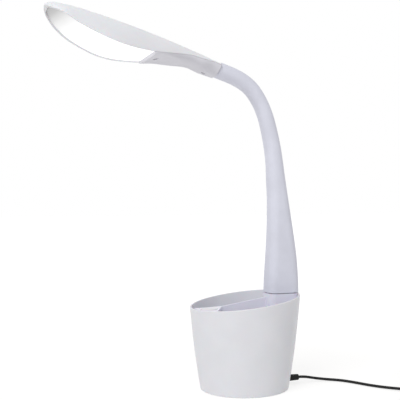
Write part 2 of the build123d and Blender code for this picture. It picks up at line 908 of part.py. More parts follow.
# Collar that closes the sleeve's end and holds it in the neck
with BuildPart() as neck_collar:
    last_row = arm_station_shares[-1]
    with BuildSketch(seam_plane.offset(-seam_gap)):
        RectangleRounded(
            tower_width * last_row[3] - 2 * seam_depth,
            tower_depth * last_row[2] - 2 * seam_depth,
            section_corner(last_row) - seam_depth,
        )
    extrude(amount=seam_gap)
    with BuildSketch(seam_plane):
        RectangleRounded(collar_plug_width, collar_plug_height, collar_plug_corner)
    extrude(amount=collar_plug_length)
    section = round_section(core_points[-2], core_directions[-1], core_rod_radius + close_fit)
    extrude(section, amount=arm_reach, mode=Mode.SUBTRACT)
keep(neck_collar, "neck_collar")


# Head: an arched shell whose rim follows a side profile
head_back = neck_point.Y + head_neck_offset
head_tip_y = head_back - head_length
head_top_z = neck_point.Z + head_neck_rise + head_drop


def head_y(share):
    """A place along the head, from its share of the length."""
    return head_tip_y + share * head_length


def height_at(share, column):
    """The height of the rim, column 1, or the ridge, column 2, between two stations."""
    for before, after in zip(head_station_shares[:-1], head_station_shares[1:]):
        if share <= after[0]:
            break
    part = (share - before[0]) / (after[0] - before[0])
    fall = before[column] + part * (after[column] - before[column])
    return head_top_z - head_drop * fall


def rim_point(row, shift=(0, 0)):
    """A point of the rim's side profile, as Y and Z."""
    return (head_y(row[0]) + shift[0], head_top_z - head_drop * row[1] + shift[1])


def arch_loft(inset):
    """The solid under the arched surface, with its radius made smaller by the inset."""
    with BuildPart() as arch:
        spread = radians(arch_half_angle)
        for row in head_station_shares:
            set_back = inset * max(0, 1 - row[0] / nose_share)
            radius = head_arch_radius * row[3] - inset
            centre = head_top_z - head_drop * row[2] - inset - radius
            side = (radius * sin(spread), centre + radius * cos(spread))
            with BuildSketch(Plane.XZ.offset(-head_y(row[0]) - set_back)):
                with BuildLine():
                    ThreePointArc((-side[0], side[1]), (0, centre + radius), side)
                    Line(side, (-side[0], side[1]))
                make_face()
        loft()
    return arch.part


def rim_profile(shift=(0, 0)):
    """The rim's side profile as a smooth line, moved by a shift."""
    return Spline(*[rim_point(row, shift) for row in head_station_shares])


def rim_band(low, high):
    """A sheet across the head between two copies of the rim's profile."""
    direction = (cos(radians(diffuser_lift_angle)), sin(radians(diffuser_lift_angle)))
    low_shift = (low * direction[0], low * direction[1])
    high_shift = (high * direction[0], high * direction[1])
    with BuildPart() as band:
        with BuildSketch(Plane.YZ):
            with BuildLine():
                rim_profile(low_shift)
                rim_profile(high_shift)
                for row in (head_station_shares[0], head_station_shares[-1]):
                    Line(rim_point(row, low_shift), rim_point(row, high_shift))
            make_face()
        extrude(amount=head_arch_radius, both=True)
    return band.part


def rim_half_width(row):
    """Half the head's width at its rim, at one of the stations."""
    radius = head_arch_radius * row[3]
    depth = head_drop * (row[1] - row[2])
    return sqrt(radius**2 - (radius - depth) ** 2)


front_screw_y = head_y(front_screw_share)
back_screw_y = head_y(back_screw_share)
led_board_y = head_y(led_board_place_share)
led_board_z = height_at(led_board_place_share, 2) - head_wall - led_board_drop
led_board_plane = Plane(
    origin=(0, led_board_y, led_board_z),
    x_dir=(1, 0, 0),
    z_dir=(0, sin(radians(led_board_slope)), cos(radians(led_board_slope))),
)
led_post_x = led_board_width / 2 - led_post_inset
led_post_y = led_board_length / 2 - led_post_inset


front_boss_top = height_at(front_screw_share, 1) + front_boss_rise
back_boss_top = (
    height_at(back_screw_share, 1) - neck_cover_depth * back_screw_depth_share + back_boss_rise
)
outer_arch = arch_loft(0)
inner_arch = arch_loft(head_wall)

with BuildPart() as under_rim:
    with BuildSketch(Plane.YZ):
        first = rim_point(head_station_shares[0])
        last = rim_point(head_station_shares[-1])
        front = head_tip_y - overrun
        low = last[1] - head_arch_radius
        high = head_top_z + overrun
        with BuildLine():
            rim_profile()
            Polyline(last, (last[0], low), (front, low), (front, high), (first[0], high), first)
        make_face()
    extrude(amount=2 * head_arch_radius, both=True)

with BuildPart() as shell_posts:
    with BuildSketch(led_board_plane):
        with GridLocations(2 * led_post_x, 2 * led_post_y, 2, 2):
            Circle(led_post_radius)
    extrude(amount=overrun)
    with BuildSketch(Plane.XY.offset(front_boss_top)):
        with Locations((0, front_screw_y)):
            Circle(shell_boss_radius)
    extrude(amount=head_arch_radius)
    with BuildSketch(Plane.XY.offset(back_boss_top)):
        with Locations((0, back_screw_y)):
            Circle(shell_boss_radius)
    extrude(amount=head_arch_radius)
    add(outer_arch, mode=Mode.INTERSECT)

with BuildPart() as head_shell:
    add(outer_arch)
    add(inner_arch, mode=Mode.SUBTRACT)
    add(under_rim.part, mode=Mode.SUBTRACT)
    add(shell_posts.part)
    split(bisect_by=seam_plane, keep=Keep.TOP)
    with BuildSketch(led_board_plane):
        with GridLocations(2 * led_post_x, 2 * led_post_y, 2, 2):
            Circle(screw_shank_radius)
    extrude(amount=led_board_drop / 2, mode=Mode.SUBTRACT)
    for place_y, boss_top in ((front_screw_y, front_boss_top), (back_screw_y, back_boss_top)):
        with BuildSketch(Plane.XY.offset(boss_top)):
            with Locations((0, place_y)):
                Circle(screw_shank_radius)
        extrude(amount=screw_length - boss_floor_thickness, mode=Mode.SUBTRACT)
keep(head_shell, "head_shell")


# Milky panel inside the rim
diffuser_end_y = head_y(diffuser_end_share)
fitted_arch = arch_loft(head_wall + clearance)
with BuildPart() as diffuser:
    add(rim_band(diffuser_lift, diffuser_lift + diffuser_thickness))
    add(fitted_arch, mode=Mode.INTERSECT)
    split(bisect_by=Plane.XZ.offset(-diffuser_end_y + clearance), keep=Keep.TOP)
keep(diffuser, "diffuser")


# Cover under the neck
def cover_loft(first_station, inset, thinning, top_rise):
    """The cover's rounded underside, from the rim down, made smaller by an inset all round."""
    with BuildPart() as body:
        for row in head_station_shares[first_station:]:
            half_width = rim_half_width(row) - inset
            depth = neck_cover_depth * row[4] - thinning
            top = rim_point(row)[1] - neck_cover_gap
            side_points = [(half_width * x, top - depth * z) for x, z in cover_side_shares]
            other_points = [(-x, z) for x, z in reversed(side_points[:-1])]
            with BuildSketch(Plane.XZ.offset(-head_y(row[0]))):
                with BuildLine():
                    Spline(*side_points, *other_points)
                    if top_rise > 0:
                        Polyline(
                            other_points[-1],
                            (-half_width, top + top_rise),
                            (half_width, top + top_rise),
                            side_points[0],
                        )
                    else:
                        Line(other_points[-1], side_points[0])
                make_face()
        loft()
    return body.part


trough_inset = head_wall + clearance + neck_cover_wall
with BuildPart() as cover_tongue:
    add(rim_band(-cover_tongue_below, cover_tongue_above))
    add(fitted_arch, mode=Mode.INTERSECT)

with BuildPart() as neck_cover:
    add(cover_loft(first_cover_station, 0, 0, cover_tongue_below))
    add(rim_band(-neck_cover_gap, overrun), mode=Mode.SUBTRACT)
    add(cover_tongue.part)
    add(
        cover_loft(first_trough_station, trough_inset, neck_cover_wall, trough_rise),
        mode=Mode.SUBTRACT,
    )
    split(bisect_by=Plane.XZ.offset(-diffuser_end_y), keep=Keep.BOTTOM)
    split(bisect_by=seam_plane, keep=Keep.TOP)
    for place_y, boss_top in ((front_screw_y, front_boss_top), (back_screw_y, back_boss_top)):
        boss_height = back_boss_rise - neck_cover_wall / 2
        with BuildSketch(Plane.XY.offset(boss_top)):
            with Locations((0, place_y)):
                Circle(cover_boss_radius)
        extrude(amount=-boss_height)
        with BuildSketch(Plane.XY.offset(boss_top - boss_floor_thickness)):
            with Locations((0, place_y)):
                Circle(screw_hole_radius)
        extrude(amount=-overrun, mode=Mode.SUBTRACT)
        with BuildSketch(Plane.XY.offset(boss_top)):
            with Locations((0, place_y)):
                Circle(screw_shank_radius + close_fit)
        extrude(amount=-boss_floor_thickness, mode=Mode.SUBTRACT)
keep(neck_cover, "neck_cover")

make_screw(
    "cover_screw_front", Plane(origin=(0, front_screw_y, front_boss_top - boss_floor_thickness))
)
make_screw(
    "cover_screw_back", Plane(origin=(0, back_screw_y, back_boss_top - boss_floor_thickness))
)


# Light board on its posts
with BuildPart() as led_board:
    with BuildSketch(led_board_plane):
        Rectangle(led_board_width, led_board_length)
        with GridLocations(2 * led_post_x, 2 * led_post_y, 2, 2):
            Circle(screw_shank_radius + close_fit, mode=Mode.SUBTRACT)
    extrude(amount=-led_board_thickness)
keep(led_board, "led_board")

with BuildPart() as leds:
    with BuildSketch(led_board_plane.offset(-led_board_thickness)):
        with GridLocations(led_column_spacing, led_row_spacing, led_columns, led_rows):
            Rectangle(led_side, led_side)
    extrude(amount=-led_height)
keep(leds, "leds")

for number, side in enumerate((-1, 1)):
    corner = led_board_plane.from_local_coords(
        (side * led_post_x, side * led_post_y, -led_board_thickness)
    )
    make_screw(
        f"led_screw_{number + 1}",
        Plane(origin=corner, x_dir=led_board_plane.x_dir, z_dir=led_board_plane.z_dir),
        length=led_board_drop / 2,
    )

lead_side = cover_boss_radius + lead_radius + 2 * clearance
lead_turn = core_end + neck_direction * head_lead_turn
lead_pass = core_end + neck_direction * head_lead_pass
lead_board_end = led_board_plane.from_local_coords(
    (lead_side, led_board_length / 2, -led_board_thickness / 2)
)
with BuildPart() as head_lead:
    with BuildLine() as head_lead_path:
        FilletPolyline(
            core_end,
            lead_turn,
            (lead_side, lead_pass.Y, lead_pass.Z),
            lead_board_end,
            radius=head_lead_bend_radius,
        )
    with BuildSketch(Plane(origin=head_lead_path.line @ 0, z_dir=head_lead_path.line % 0)):
        Circle(lead_radius)
    sweep()
keep(head_lead, "head_lead")


# Plug in the socket
plug_face = pot_radius(jack_height + plug_radius) + clearance
with BuildPart() as plug_tip:
    with BuildSketch(Plane.XZ.offset(-plug_face)):
        with Locations((0, jack_height)):
            Circle(plug_barrel_radius)
            Circle(plug_barrel_bore, mode=Mode.SUBTRACT)
    extrude(amount=jack_bore_depth)
keep(plug_tip, "plug_tip")

plug_back = plug_face + plug_length
cord_exit = plug_back + strain_relief_length
with BuildPart() as plug_body:
    with BuildSketch(Plane.YZ):
        with BuildLine():
            Polyline(
                (plug_face, jack_height),
                (plug_face, jack_height + plug_radius),
                (plug_back, jack_height + plug_end_radius),
                (cord_exit, jack_height + cord_radius),
                (cord_exit, jack_height),
                close=True,
            )
        make_face()
    revolve(axis=Axis((0, 0, jack_height), (0, 1, 0)))
keep(plug_body, "plug_body")


# Cord: a free run, a round coil of what is put away, and a tail to the adapter
def coil_turn_counts():
    """The turn count at which each layer ends."""
    counts = [coil_layer_turns * (layer + 1) for layer in range(coil_layers - 1)]
    return counts + [counts[-1] + coil_last_turns]


layer_ends = coil_turn_counts()
inner_radius = coil_radius - coil_pitch * coil_layer_turns


def coil_point(turns):
    """The coil's middle line after a number of turns."""
    start = 0
    for layer, end in enumerate(layer_ends):
        if turns <= end or layer == coil_layers - 1:
            break
        start = end
    inward = layer % 2 == 0
    run = coil_pitch * (turns - start)
    radius = coil_radius - run if inward else inner_radius + run
    climb = 0
    for end in layer_ends[:-1]:
        progress = min(max((turns - end) * 2 + 0.5, 0), 1)
        climb += progress * progress * (3 - 2 * progress)
    angle = radians(coil_start_angle) + 2 * pi * turns
    return Vector(
        coil_centre_x + radius * cos(angle),
        coil_centre_y + radius * sin(angle),
        coil_base_height + coil_pitch * climb,
    )


def coil_direction(turns):
    """The heading of the coil's middle line, level at both ends."""
    step_share = 0.01
    ahead = min(turns + step_share, layer_ends[-1])
    behind = max(turns - step_share, 0)
    chord = (coil_point(ahead) - coil_point(behind)).normalized()
    if 0 < turns < layer_ends[-1]:
        return chord
    angle = radians(coil_start_angle) + 2 * pi * turns
    return Vector(-sin(angle), cos(angle), 0)


def biarc_middle(start, start_direction, end, end_direction):
    """The point where two tangent arcs meet between two points."""
    span = end - start
    both = start_direction + end_direction
    bend = 2 * (1 - start_direction.dot(end_direction))
    along = span.dot(both)
    reach = (-along + sqrt(along**2 + bend * span.dot(span))) / bend
    return (start + end + (start_direction - end_direction) * reach) / 2


def least_gap(points, width, skipped_length):
    """The least gap between the stretches of a round cord, from points on its middle line."""
    travelled = [0]
    for before, after in zip(points[:-1], points[1:]):
        travelled.append(travelled[-1] + (after - before).length)
    least = None
    for first, point in enumerate(points):
        for second in range(first + 1, len(points)):
            if travelled[second] - travelled[first] > skipped_length:
                gap = (points[second] - point).length - width
                least = gap if least is None or gap < least else least
    return least


def arc_radii(points):
    """The largest tangent arcs that the runs allow, one for each inner point."""
    radii = []
    for before, corner, after in zip(points[:-2], points[1:-1], points[2:]):
        shorter = min((corner - before).length, (after - corner).length)
        turn = radians((corner - before).get_angle(after - corner))
        radii.append(cord_arc_share * shorter / tan(turn / 2))
    return radii


def make_tube(name, points):
    """A round tube of straight runs joined by tangent arcs."""
    radii = arc_radii(points)
    with BuildPart() as tube:
        with BuildLine() as path:
            FilletPolyline(*points, radius=radii)
        line = path.wires()[0]
        with BuildSketch(Plane(origin=line @ 0, z_dir=line % 0)):
            Circle(cord_radius)
        sweep()
    keep(tube, name)
    expected = pi * cord_radius**2 * line.length
    print(name, "radii", [round(value, 1) for value in radii])
    print(name, "length", round(line.length, 1), "volume share", tube.part.volume / expected)
    return line.length


coil_start = coil_point(0)
coil_end = coil_point(layer_ends[-1])
entry = coil_start - coil_direction(0) * coil_lead_in
run_points = [
    Vector(0, cord_exit, jack_height),
    Vector(0, cord_exit + cord_lead_out, jack_height),
    Vector(0.4, 89, 4.2),
    Vector(3.5, 104, 2.1),
    Vector(13, 118, 2.0),
    Vector(29, 129, 2.0),
    Vector(48, 139, 2.0),
    Vector(66.5, 152.5, 2.2),
    entry,
    coil_start,
]
run_length = make_tube("cord_run", run_points)

adapter_nose_x = 66.0
adapter_y = 247.0
adapter_z = adapter_height / 2
leave = coil_end + coil_direction(layer_ends[-1]) * coil_lead_out
tail_points = [
    coil_end,
    leave,
    Vector(90.5, 237.5, 15.3),
    Vector(81.5, 244.8, 13.6),
    Vector(73.5, adapter_y, adapter_z),
    Vector(adapter_nose_x, adapter_y, adapter_z),
]
tail_length = make_tube("cord_tail", tail_points)

coil_steps = int(round(layer_ends[-1] * coil_steps_per_turn))
coil_nodes = [step / coil_steps_per_turn for step in range(coil_steps + 1)]
with BuildPart() as cord_coil:
    with BuildLine() as coil_path:
        for before, after in zip(coil_nodes[:-1], coil_nodes[1:]):
            start_point = coil_point(before)
            end_point = coil_point(after)
            start_heading = coil_direction(before)
            middle = biarc_middle(start_point, start_heading, end_point, coil_direction(after))
            first_arc = TangentArc(start_point, middle, tangent=start_heading)
            TangentArc(middle, end_point, tangent=first_arc % 1)
    with BuildSketch(Plane(origin=coil_start, z_dir=coil_direction(0))):
        Circle(cord_radius)
    sweep()
keep(cord_coil, "cord_coil")
coil_line = coil_path.wires()[0]
samples = 1500
coil_samples = [coil_line @ (number / samples) for number in range(samples + 1)]
print("coil length", round(coil_line.length, 1), "smallest radius", round(inner_radius, 1))
print("coil volume share", cord_coil.part.volume / (pi * cord_radius**2 * coil_line.length))
print("coil least gap", round(least_gap(coil_samples, 2 * cord_radius, pi * inner_radius), 2))
print("cord length", round(run_length + coil_line.length + tail_length, 1))

# Tie round the coil's turns
coil_outer = inner_radius + coil_pitch * coil_last_turns
tie_low = coil_base_height - cord_radius - tie_gap
tie_high = coil_base_height + coil_pitch * (coil_layers - 1) + cord_radius + tie_gap
tie_inside = inner_radius - cord_radius - tie_gap
tie_outside = coil_outer + cord_radius + tie_gap
tie_middle = (tie_inside + tie_outside) / 2
tie_turn = radians(tie_angle)
tie_plane = Plane(
    origin=(
        coil_centre_x + tie_middle * cos(tie_turn),
        coil_centre_y + tie_middle * sin(tie_turn),
        (tie_low + tie_high) / 2,
    ),
    x_dir=(cos(tie_turn), sin(tie_turn), 0),
    z_dir=(sin(tie_turn), -cos(tie_turn), 0),
)
with BuildPart() as cord_tie:
    with BuildSketch(tie_plane):
        RectangleRounded(
            tie_outside - tie_inside + 2 * tie_thickness,
            tie_high - tie_low + 2 * tie_thickness,
            tie_corner + tie_thickness,
        )
        RectangleRounded(
            tie_outside - tie_inside, tie_high - tie_low, tie_corner, mode=Mode.SUBTRACT
        )
    extrude(amount=tie_width / 2, both=True)
keep(cord_tie, "cord_tie")


# Adapter and its pins
with BuildPart() as adapter:
    body_x = adapter_nose_x - adapter_nose_length - adapter_length / 2
    with BuildSketch(Plane.XY):
        with Locations((body_x, adapter_y)):
            RectangleRounded(adapter_length, adapter_width, adapter_edge)
    extrude(amount=adapter_height)
    with BuildSketch(Plane.YZ.offset(adapter_nose_x)):
        with Locations((adapter_y, adapter_z)):
            Circle(adapter_nose_radius)
    extrude(amount=-adapter_nose_length)
keep(adapter, "adapter")

pin_face = adapter_nose_x - adapter_nose_length - adapter_length
for number, side in enumerate((-1, 1)):
    with BuildPart() as pin:
        with BuildSketch(Plane.YZ.offset(pin_face)):
            with Locations((adapter_y + side * adapter_pin_spacing / 2, adapter_z)):
                Circle(adapter_pin_radius)
        extrude(amount=-adapter_pin_length)
        fillet(pin.faces().sort_by(Axis.X)[0].edges(), radius=adapter_pin_radius / 2)
    keep(pin, f"adapter_pin_{number + 1}")
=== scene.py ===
"""Dressed model of the hobby lamp: finishes, the arm's skin, the head, the cord and the stage."""

from __future__ import annotations

import logging
from dataclasses import dataclass
from enum import Enum
from itertools import accumulate
from math import acos, cos, radians, sin, tau

import bmesh
import bpy
from mathutils import Matrix, Vector
from mathutils.bvhtree import BVHTree


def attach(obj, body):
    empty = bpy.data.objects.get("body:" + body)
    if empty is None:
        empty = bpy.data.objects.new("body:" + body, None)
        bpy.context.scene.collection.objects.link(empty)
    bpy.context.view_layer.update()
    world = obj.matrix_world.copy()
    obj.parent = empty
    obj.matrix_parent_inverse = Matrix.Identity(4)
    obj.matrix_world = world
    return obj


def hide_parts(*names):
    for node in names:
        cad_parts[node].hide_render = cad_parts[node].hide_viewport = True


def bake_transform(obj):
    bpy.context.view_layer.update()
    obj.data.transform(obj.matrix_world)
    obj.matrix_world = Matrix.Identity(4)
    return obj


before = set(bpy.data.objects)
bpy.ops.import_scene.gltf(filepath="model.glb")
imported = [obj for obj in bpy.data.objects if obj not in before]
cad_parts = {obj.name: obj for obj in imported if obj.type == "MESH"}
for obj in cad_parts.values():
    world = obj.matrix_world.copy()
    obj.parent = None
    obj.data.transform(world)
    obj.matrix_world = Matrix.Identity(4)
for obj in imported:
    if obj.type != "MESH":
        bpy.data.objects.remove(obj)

LOG = logging.getLogger("hobby_lamp")
MILLIMETRE = 0.001
NECK_TILT = radians(24.1)
NECK_HEADING = Vector((0, -cos(NECK_TILT), sin(NECK_TILT)))
Colour = tuple[float, float, float]
Row = tuple[float, ...]
Mesh = bmesh.types.BMesh
Vert = bmesh.types.BMVert
Edge = bmesh.types.BMEdge
Node = bpy.types.Node
Socket = bpy.types.NodeSocket
Tree = bpy.types.NodeTree
Material = bpy.types.Material


class Body(str, Enum):
    """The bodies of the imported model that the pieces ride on."""

    POT = "root"
    HEAD = "head"


# Frames, objects and smooth tables


def line_frame(origin: Vector, across: Vector, over: Vector, along: Vector) -> Matrix:
    """Make the frame of a section at a point of a line.

    Args:
        origin: The point, in millimetres.
        across: The direction of the section's width.
        over: The direction of its depth.
        along: The line's direction there.

    Returns:
        A matrix that puts X across, Y over the back and Z along the line.
    """
    turn = Matrix((across, over, along)).transposed().to_4x4()
    return Matrix.Translation(origin) @ turn


def link_object(name: str, data: bpy.types.ID) -> bpy.types.Object:
    """Put a new object into the scene.

    Args:
        name: The object's name.
        data: Its mesh, curve, lamp or camera.

    Returns:
        The object, at the origin.
    """
    made = bpy.data.objects.new(name, data)
    bpy.context.scene.collection.objects.link(made)
    return made


class SmoothTable:
    """Rows of sizes, one at each whole number from nought, read as smooth curves."""

    def __init__(self, rows: list[Row]) -> None:
        """Keep the rows and work out their slopes.

        Args:
            rows: The sizes at each place.
        """
        self.rows = [Vector(row) for row in rows]
        self.last = len(rows) - 1
        self.slopes: list[Vector] = []
        for number in range(len(rows)):
            low = max(number - 1, 0)
            high = min(number + 1, self.last)
            self.slopes.append((self.rows[high] - self.rows[low]) / (high - low))

    def read(self, place: float) -> Vector:
        """Read the sizes at a place.

        Args:
            place: A place between the first and the last row.

        Returns:
            The smooth value of each size there.
        """
        number = min(int(place), self.last - 1)
        part = place - number
        ease = part * part * (3 - 2 * part)
        lead = part * (1 - part) * (1 - part)
        trail = part * part * (part - 1)
        value = self.rows[number] * (1 - ease) + self.rows[number + 1] * ease
        return value + self.slopes[number] * lead + self.slopes[number + 1] * trail


# Node groups and finishes


class NodeSheet:
    """A node tree that takes nodes by name and joins them."""

    def __init__(self, tree: Tree) -> None:
        """Take the tree to fill."""
        self.tree = tree

    def fill(self, node: Node, inputs: dict[str | int, object]) -> None:
        """Join or set the inputs of a node.

        Args:
            node: The node.
            inputs: Each input's name or number, with a socket to join or a value to set.
        """
        for key, value in inputs.items():
            if isinstance(value, Socket):
                self.tree.links.new(value, node.inputs[key])
            else:
                node.inputs[key].default_value = value

    def add(
        self, kind: str, inputs: dict[str | int, object] | None = None, **settings: object
    ) -> Node:
        """Add a node, set its properties and fill its inputs.

        Args:
            kind: The node's type name.
            inputs: Each input's name or number, with a socket to join or a value to set.
            settings: Properties of the node by name.

        Returns:
            The new node.
        """
        node = self.tree.nodes.new(kind)
        for name, value in settings.items():
            setattr(node, name, value)
        self.fill(node, inputs or {})
        return node

    def place(self) -> Socket:
        """Give the place on the object, as textures take it."""
        return self.add("ShaderNodeTexCoord").outputs["Object"]

    def math(self, operation: str, *parts: Socket | float) -> Socket:
        """Work out a value from sockets and numbers.

        Args:
            operation: What to do with them.
            parts: The sockets and numbers, in order.

        Returns:
            The value's output.
        """
        return self.add("ShaderNodeMath", dict(enumerate(parts)), operation=operation).outputs[0]

    def span(self, value: Socket, inputs: dict[str, float], **settings: object) -> Socket:
        """Map a value from one range to another.

        Args:
            value: The value.
            inputs: The ends of the two ranges that aren't nought and one.
            settings: Properties of the node by name.

        Returns:
            The mapped value.
        """
        node = self.add("ShaderNodeMapRange", {"Value": value, **inputs}, **settings)
        return node.outputs["Result"]

    def mix(self, share: Socket, start: object, end: object) -> Socket:
        """Mix two colours.

        Args:
            share: The share of the second.
            start: The first colour, as a socket or as four numbers.
            end: The second colour, in the same way.

        Returns:
            The mixed colour.
        """
        inputs = {"Factor": share, "A": start, "B": end}
        return self.add("ShaderNodeMix", inputs, data_type="RGBA").outputs["Result"]

    def ramp(self, source: Socket, *stops: tuple[float, Colour]) -> Socket:
        """Turn a value into a colour between two or more stops.

        Args:
            source: The value.
            stops: Each stop's place and colour, rising.

        Returns:
            The colour output.
        """
        ramp = self.add("ShaderNodeValToRGB", {"Fac": source})
        elements = ramp.color_ramp.elements
        for place, _ in stops[1:-1]:
            elements.new(place)
        for element, (place, colour) in zip(elements, stops):
            element.position = place
            element.color = (*colour, 1)
        return ramp.outputs["Color"]

    def bump(self, shader: Node, height: Socket, depth: float, strength: float = 1.0) -> None:
        """Raise and sink a shader's surface a little.

        Args:
            shader: The shader.
            height: The height, from nought to one.
            depth: What one stands for, in millimetres.
            strength: The bump's strength.
        """
        inputs = {"Strength": strength, "Distance": depth * MILLIMETRE, "Height": height}
        normal = self.add("ShaderNodeBump", inputs).outputs["Normal"]
        self.fill(shader, {"Normal": normal})

    def seen_rays(self) -> Socket:
        """Tell the rays that make the picture from those that only carry light.

        Returns:
            One for a ray seen straight, mirrored or through a clear piece.
        """
        rays = self.add("ShaderNodeLightPath").outputs
        seen = self.math("MAXIMUM", rays["Is Camera Ray"], rays["Is Glossy Ray"])
        return self.math("MAXIMUM", seen, rays["Is Transmission Ray"])


def new_material(name: str) -> tuple[Material, NodeSheet, Node]:
    """Start a material.

    Args:
        name: The material's name.

    Returns:
        The material, its node sheet and its shader.
    """
    material = bpy.data.materials.new(name)
    material.use_nodes = True
    tree = material.node_tree
    return material, NodeSheet(tree), tree.nodes["Principled BSDF"]


class SurfaceGroups:
    """The shader node groups that the finishes share, each built once."""

    VALUE = "NodeSocketFloat"
    GRAIN_ROUGHNESS = 0.6
    CELL_SCALE_SHARE = 0.6
    CELL_HEIGHT_SHARE = 0.35
    DUST_FROM_SLOPE = 0.6
    # Where convex edges start and stop getting the lightened wear and painted highlight.
    EDGE_FROM = 0.52
    EDGE_TO = 0.66

    def __init__(self) -> None:
        """Build the groups."""
        self.grain = self.make_grain()
        self.mottle = self.make_mottle()
        self.rub_and_highlight = self.make_rub_and_highlight()

    def new_group(
        self, name: str, inputs: dict[str, float], outputs: tuple[str, ...]
    ) -> tuple[NodeSheet, bpy.types.NodeOutputs, Node]:
        """Make a group with named value sockets.

        Args:
            name: The group's name.
            inputs: Each input's name and usual value.
            outputs: Each output's name.

        Returns:
            The group's node sheet, what comes in, and the node that takes what goes out.
        """
        group = bpy.data.node_groups.new(name, "ShaderNodeTree")
        for label, value in inputs.items():
            socket = group.interface.new_socket(label, in_out="INPUT", socket_type=self.VALUE)
            socket.default_value = value
        for label in outputs:
            group.interface.new_socket(label, in_out="OUTPUT", socket_type=self.VALUE)
        sheet = NodeSheet(group)
        return sheet, sheet.add("NodeGroupInput").outputs, sheet.add("NodeGroupOutput")

    def make_grain(self) -> Tree:
        """Build the fine spark grain of a mould: a height and a mask from two noises.

        Returns:
            The group.
        """
        sheet, given, result = self.new_group(
            "mould_grain", {"Scale": 1500, "Depth": 1}, ("Height", "Mask")
        )
        place = sheet.place()
        inputs = {
            "Vector": place,
            "Scale": given["Scale"],
            "Detail": 3,
            "Roughness": self.GRAIN_ROUGHNESS,
        }
        fine = sheet.add("ShaderNodeTexNoise", inputs).outputs["Fac"]
        scale = sheet.math("MULTIPLY", given["Scale"], self.CELL_SCALE_SHARE)
        cells = sheet.add("ShaderNodeTexVoronoi", {"Vector": place, "Scale": scale})
        distance = cells.outputs["Distance"]
        both = sheet.math("MULTIPLY_ADD", distance, self.CELL_HEIGHT_SHARE, fine)
        height = sheet.math("MULTIPLY", both, given["Depth"])
        sheet.fill(result, {"Height": height, "Mask": fine})
        return sheet.tree

    def make_mottle(self) -> Tree:
        """Build the slow clouding of a surface and the dust that settles on what faces up.

        Returns:
            The group.
        """
        sheet, given, result = self.new_group(
            "cloud_and_dust", {"Scale": 40, "Dust": 0.1}, ("Cloud", "Dust")
        )
        inputs = {"Vector": sheet.place(), "Scale": given["Scale"], "Detail": 4}
        cloud = sheet.add("ShaderNodeTexNoise", inputs).outputs["Fac"]
        normal = sheet.add("ShaderNodeNewGeometry").outputs["Normal"]
        split = sheet.add("ShaderNodeSeparateXYZ", {0: normal})
        upward = sheet.span(split.outputs["Z"], {"From Min": self.DUST_FROM_SLOPE})
        speck = sheet.math("MULTIPLY", upward, cloud)
        dust = sheet.math("MULTIPLY", speck, given["Dust"])
        sheet.fill(result, {"Cloud": cloud, "Dust": dust})
        return sheet.tree

    def make_rub_and_highlight(self) -> Tree:
        """Build the mask of convex edges, lightened for hand wear and as a painted highlight.

        Returns:
            The group.
        """
        sheet, given, result = self.new_group("rubbed_and_highlit_edges", {"Amount": 0.3}, ("Mask",))
        shape = sheet.add("ShaderNodeNewGeometry")
        ends = {"From Min": self.EDGE_FROM, "From Max": self.EDGE_TO}
        edge = sheet.span(shape.outputs["Pointiness"], ends)
        sheet.fill(result, {"Mask": sheet.math("MULTIPLY", edge, given["Amount"])})
        return sheet.tree


@dataclass(frozen=True)
class Finish:
    """A moulded or plated surface: its colour, gloss, grain, clouding, dust and rubbed edges,
    lightened also as a painted highlight.
    """

    name: str
    colour: Colour
    roughness: float = 0.45
    metallic: float = 0.0
    specular: float = 0.5
    coat: float = 0.0
    subsurface: float = 0.0
    grain_scale: float = 1500.0
    grain_depth: float = 0.02
    roughness_swing: float = 0.08
    cloud_scale: float = 35.0
    cloud_share: float = 0.03
    dust: float = 0.04
    rub_and_highlight: float = 0.0
    bump_strength: float = 0.5
    cloud_from: float = 0.35
    cloud_to: float = 0.65
    dust_colour: Colour = (0.72, 0.7, 0.66)
    rub_and_highlight_gain: float = 1.25

    def lit(self, gain: float) -> Colour:
        """Give the colour, darker or lighter."""
        return tuple(min(part * gain, 1) for part in self.colour)

    def build(self, groups: SurfaceGroups) -> Material:
        """Make the material.

        Args:
            groups: The shared node groups.

        Returns:
            The finished material.
        """
        material, sheet, shader = new_material(self.name)
        inputs = {"Scale": self.cloud_scale, "Dust": self.dust}
        cloud = sheet.add("ShaderNodeGroup", inputs, node_tree=groups.mottle)
        tone = sheet.ramp(
            cloud.outputs["Cloud"],
            (self.cloud_from, self.lit(1 - self.cloud_share)),
            (self.cloud_to, self.lit(1 + self.cloud_share)),
        )
        colour = sheet.mix(cloud.outputs["Dust"], tone, (*self.dust_colour, 1))
        # Convex edges lightened: hand wear together with a painted highlight.
        if self.rub_and_highlight > 0:
            worn_and_lit = sheet.add("ShaderNodeGroup", {"Amount": self.rub_and_highlight}, node_tree=groups.rub_and_highlight)
            colour = sheet.mix(worn_and_lit.outputs["Mask"], colour, (*self.lit(self.rub_and_highlight_gain), 1))
        inputs = {"Scale": self.grain_scale, "Depth": 1}
        grain = sheet.add("ShaderNodeGroup", inputs, node_tree=groups.grain)
        ends = {
            "To Min": self.roughness - self.roughness_swing,
            "To Max": self.roughness + self.roughness_swing,
        }
        inputs = {
            "Base Color": colour,
            "Roughness": sheet.span(grain.outputs["Mask"], ends),
            "Metallic": self.metallic,
            "Specular IOR Level": self.specular,
            "Coat Weight": self.coat,
            "Subsurface Weight": self.subsurface,
            "Subsurface Scale": MILLIMETRE,
        }
        sheet.fill(shader, inputs)
        sheet.bump(shader, grain.outputs["Height"], self.grain_depth, self.bump_strength)
        return material


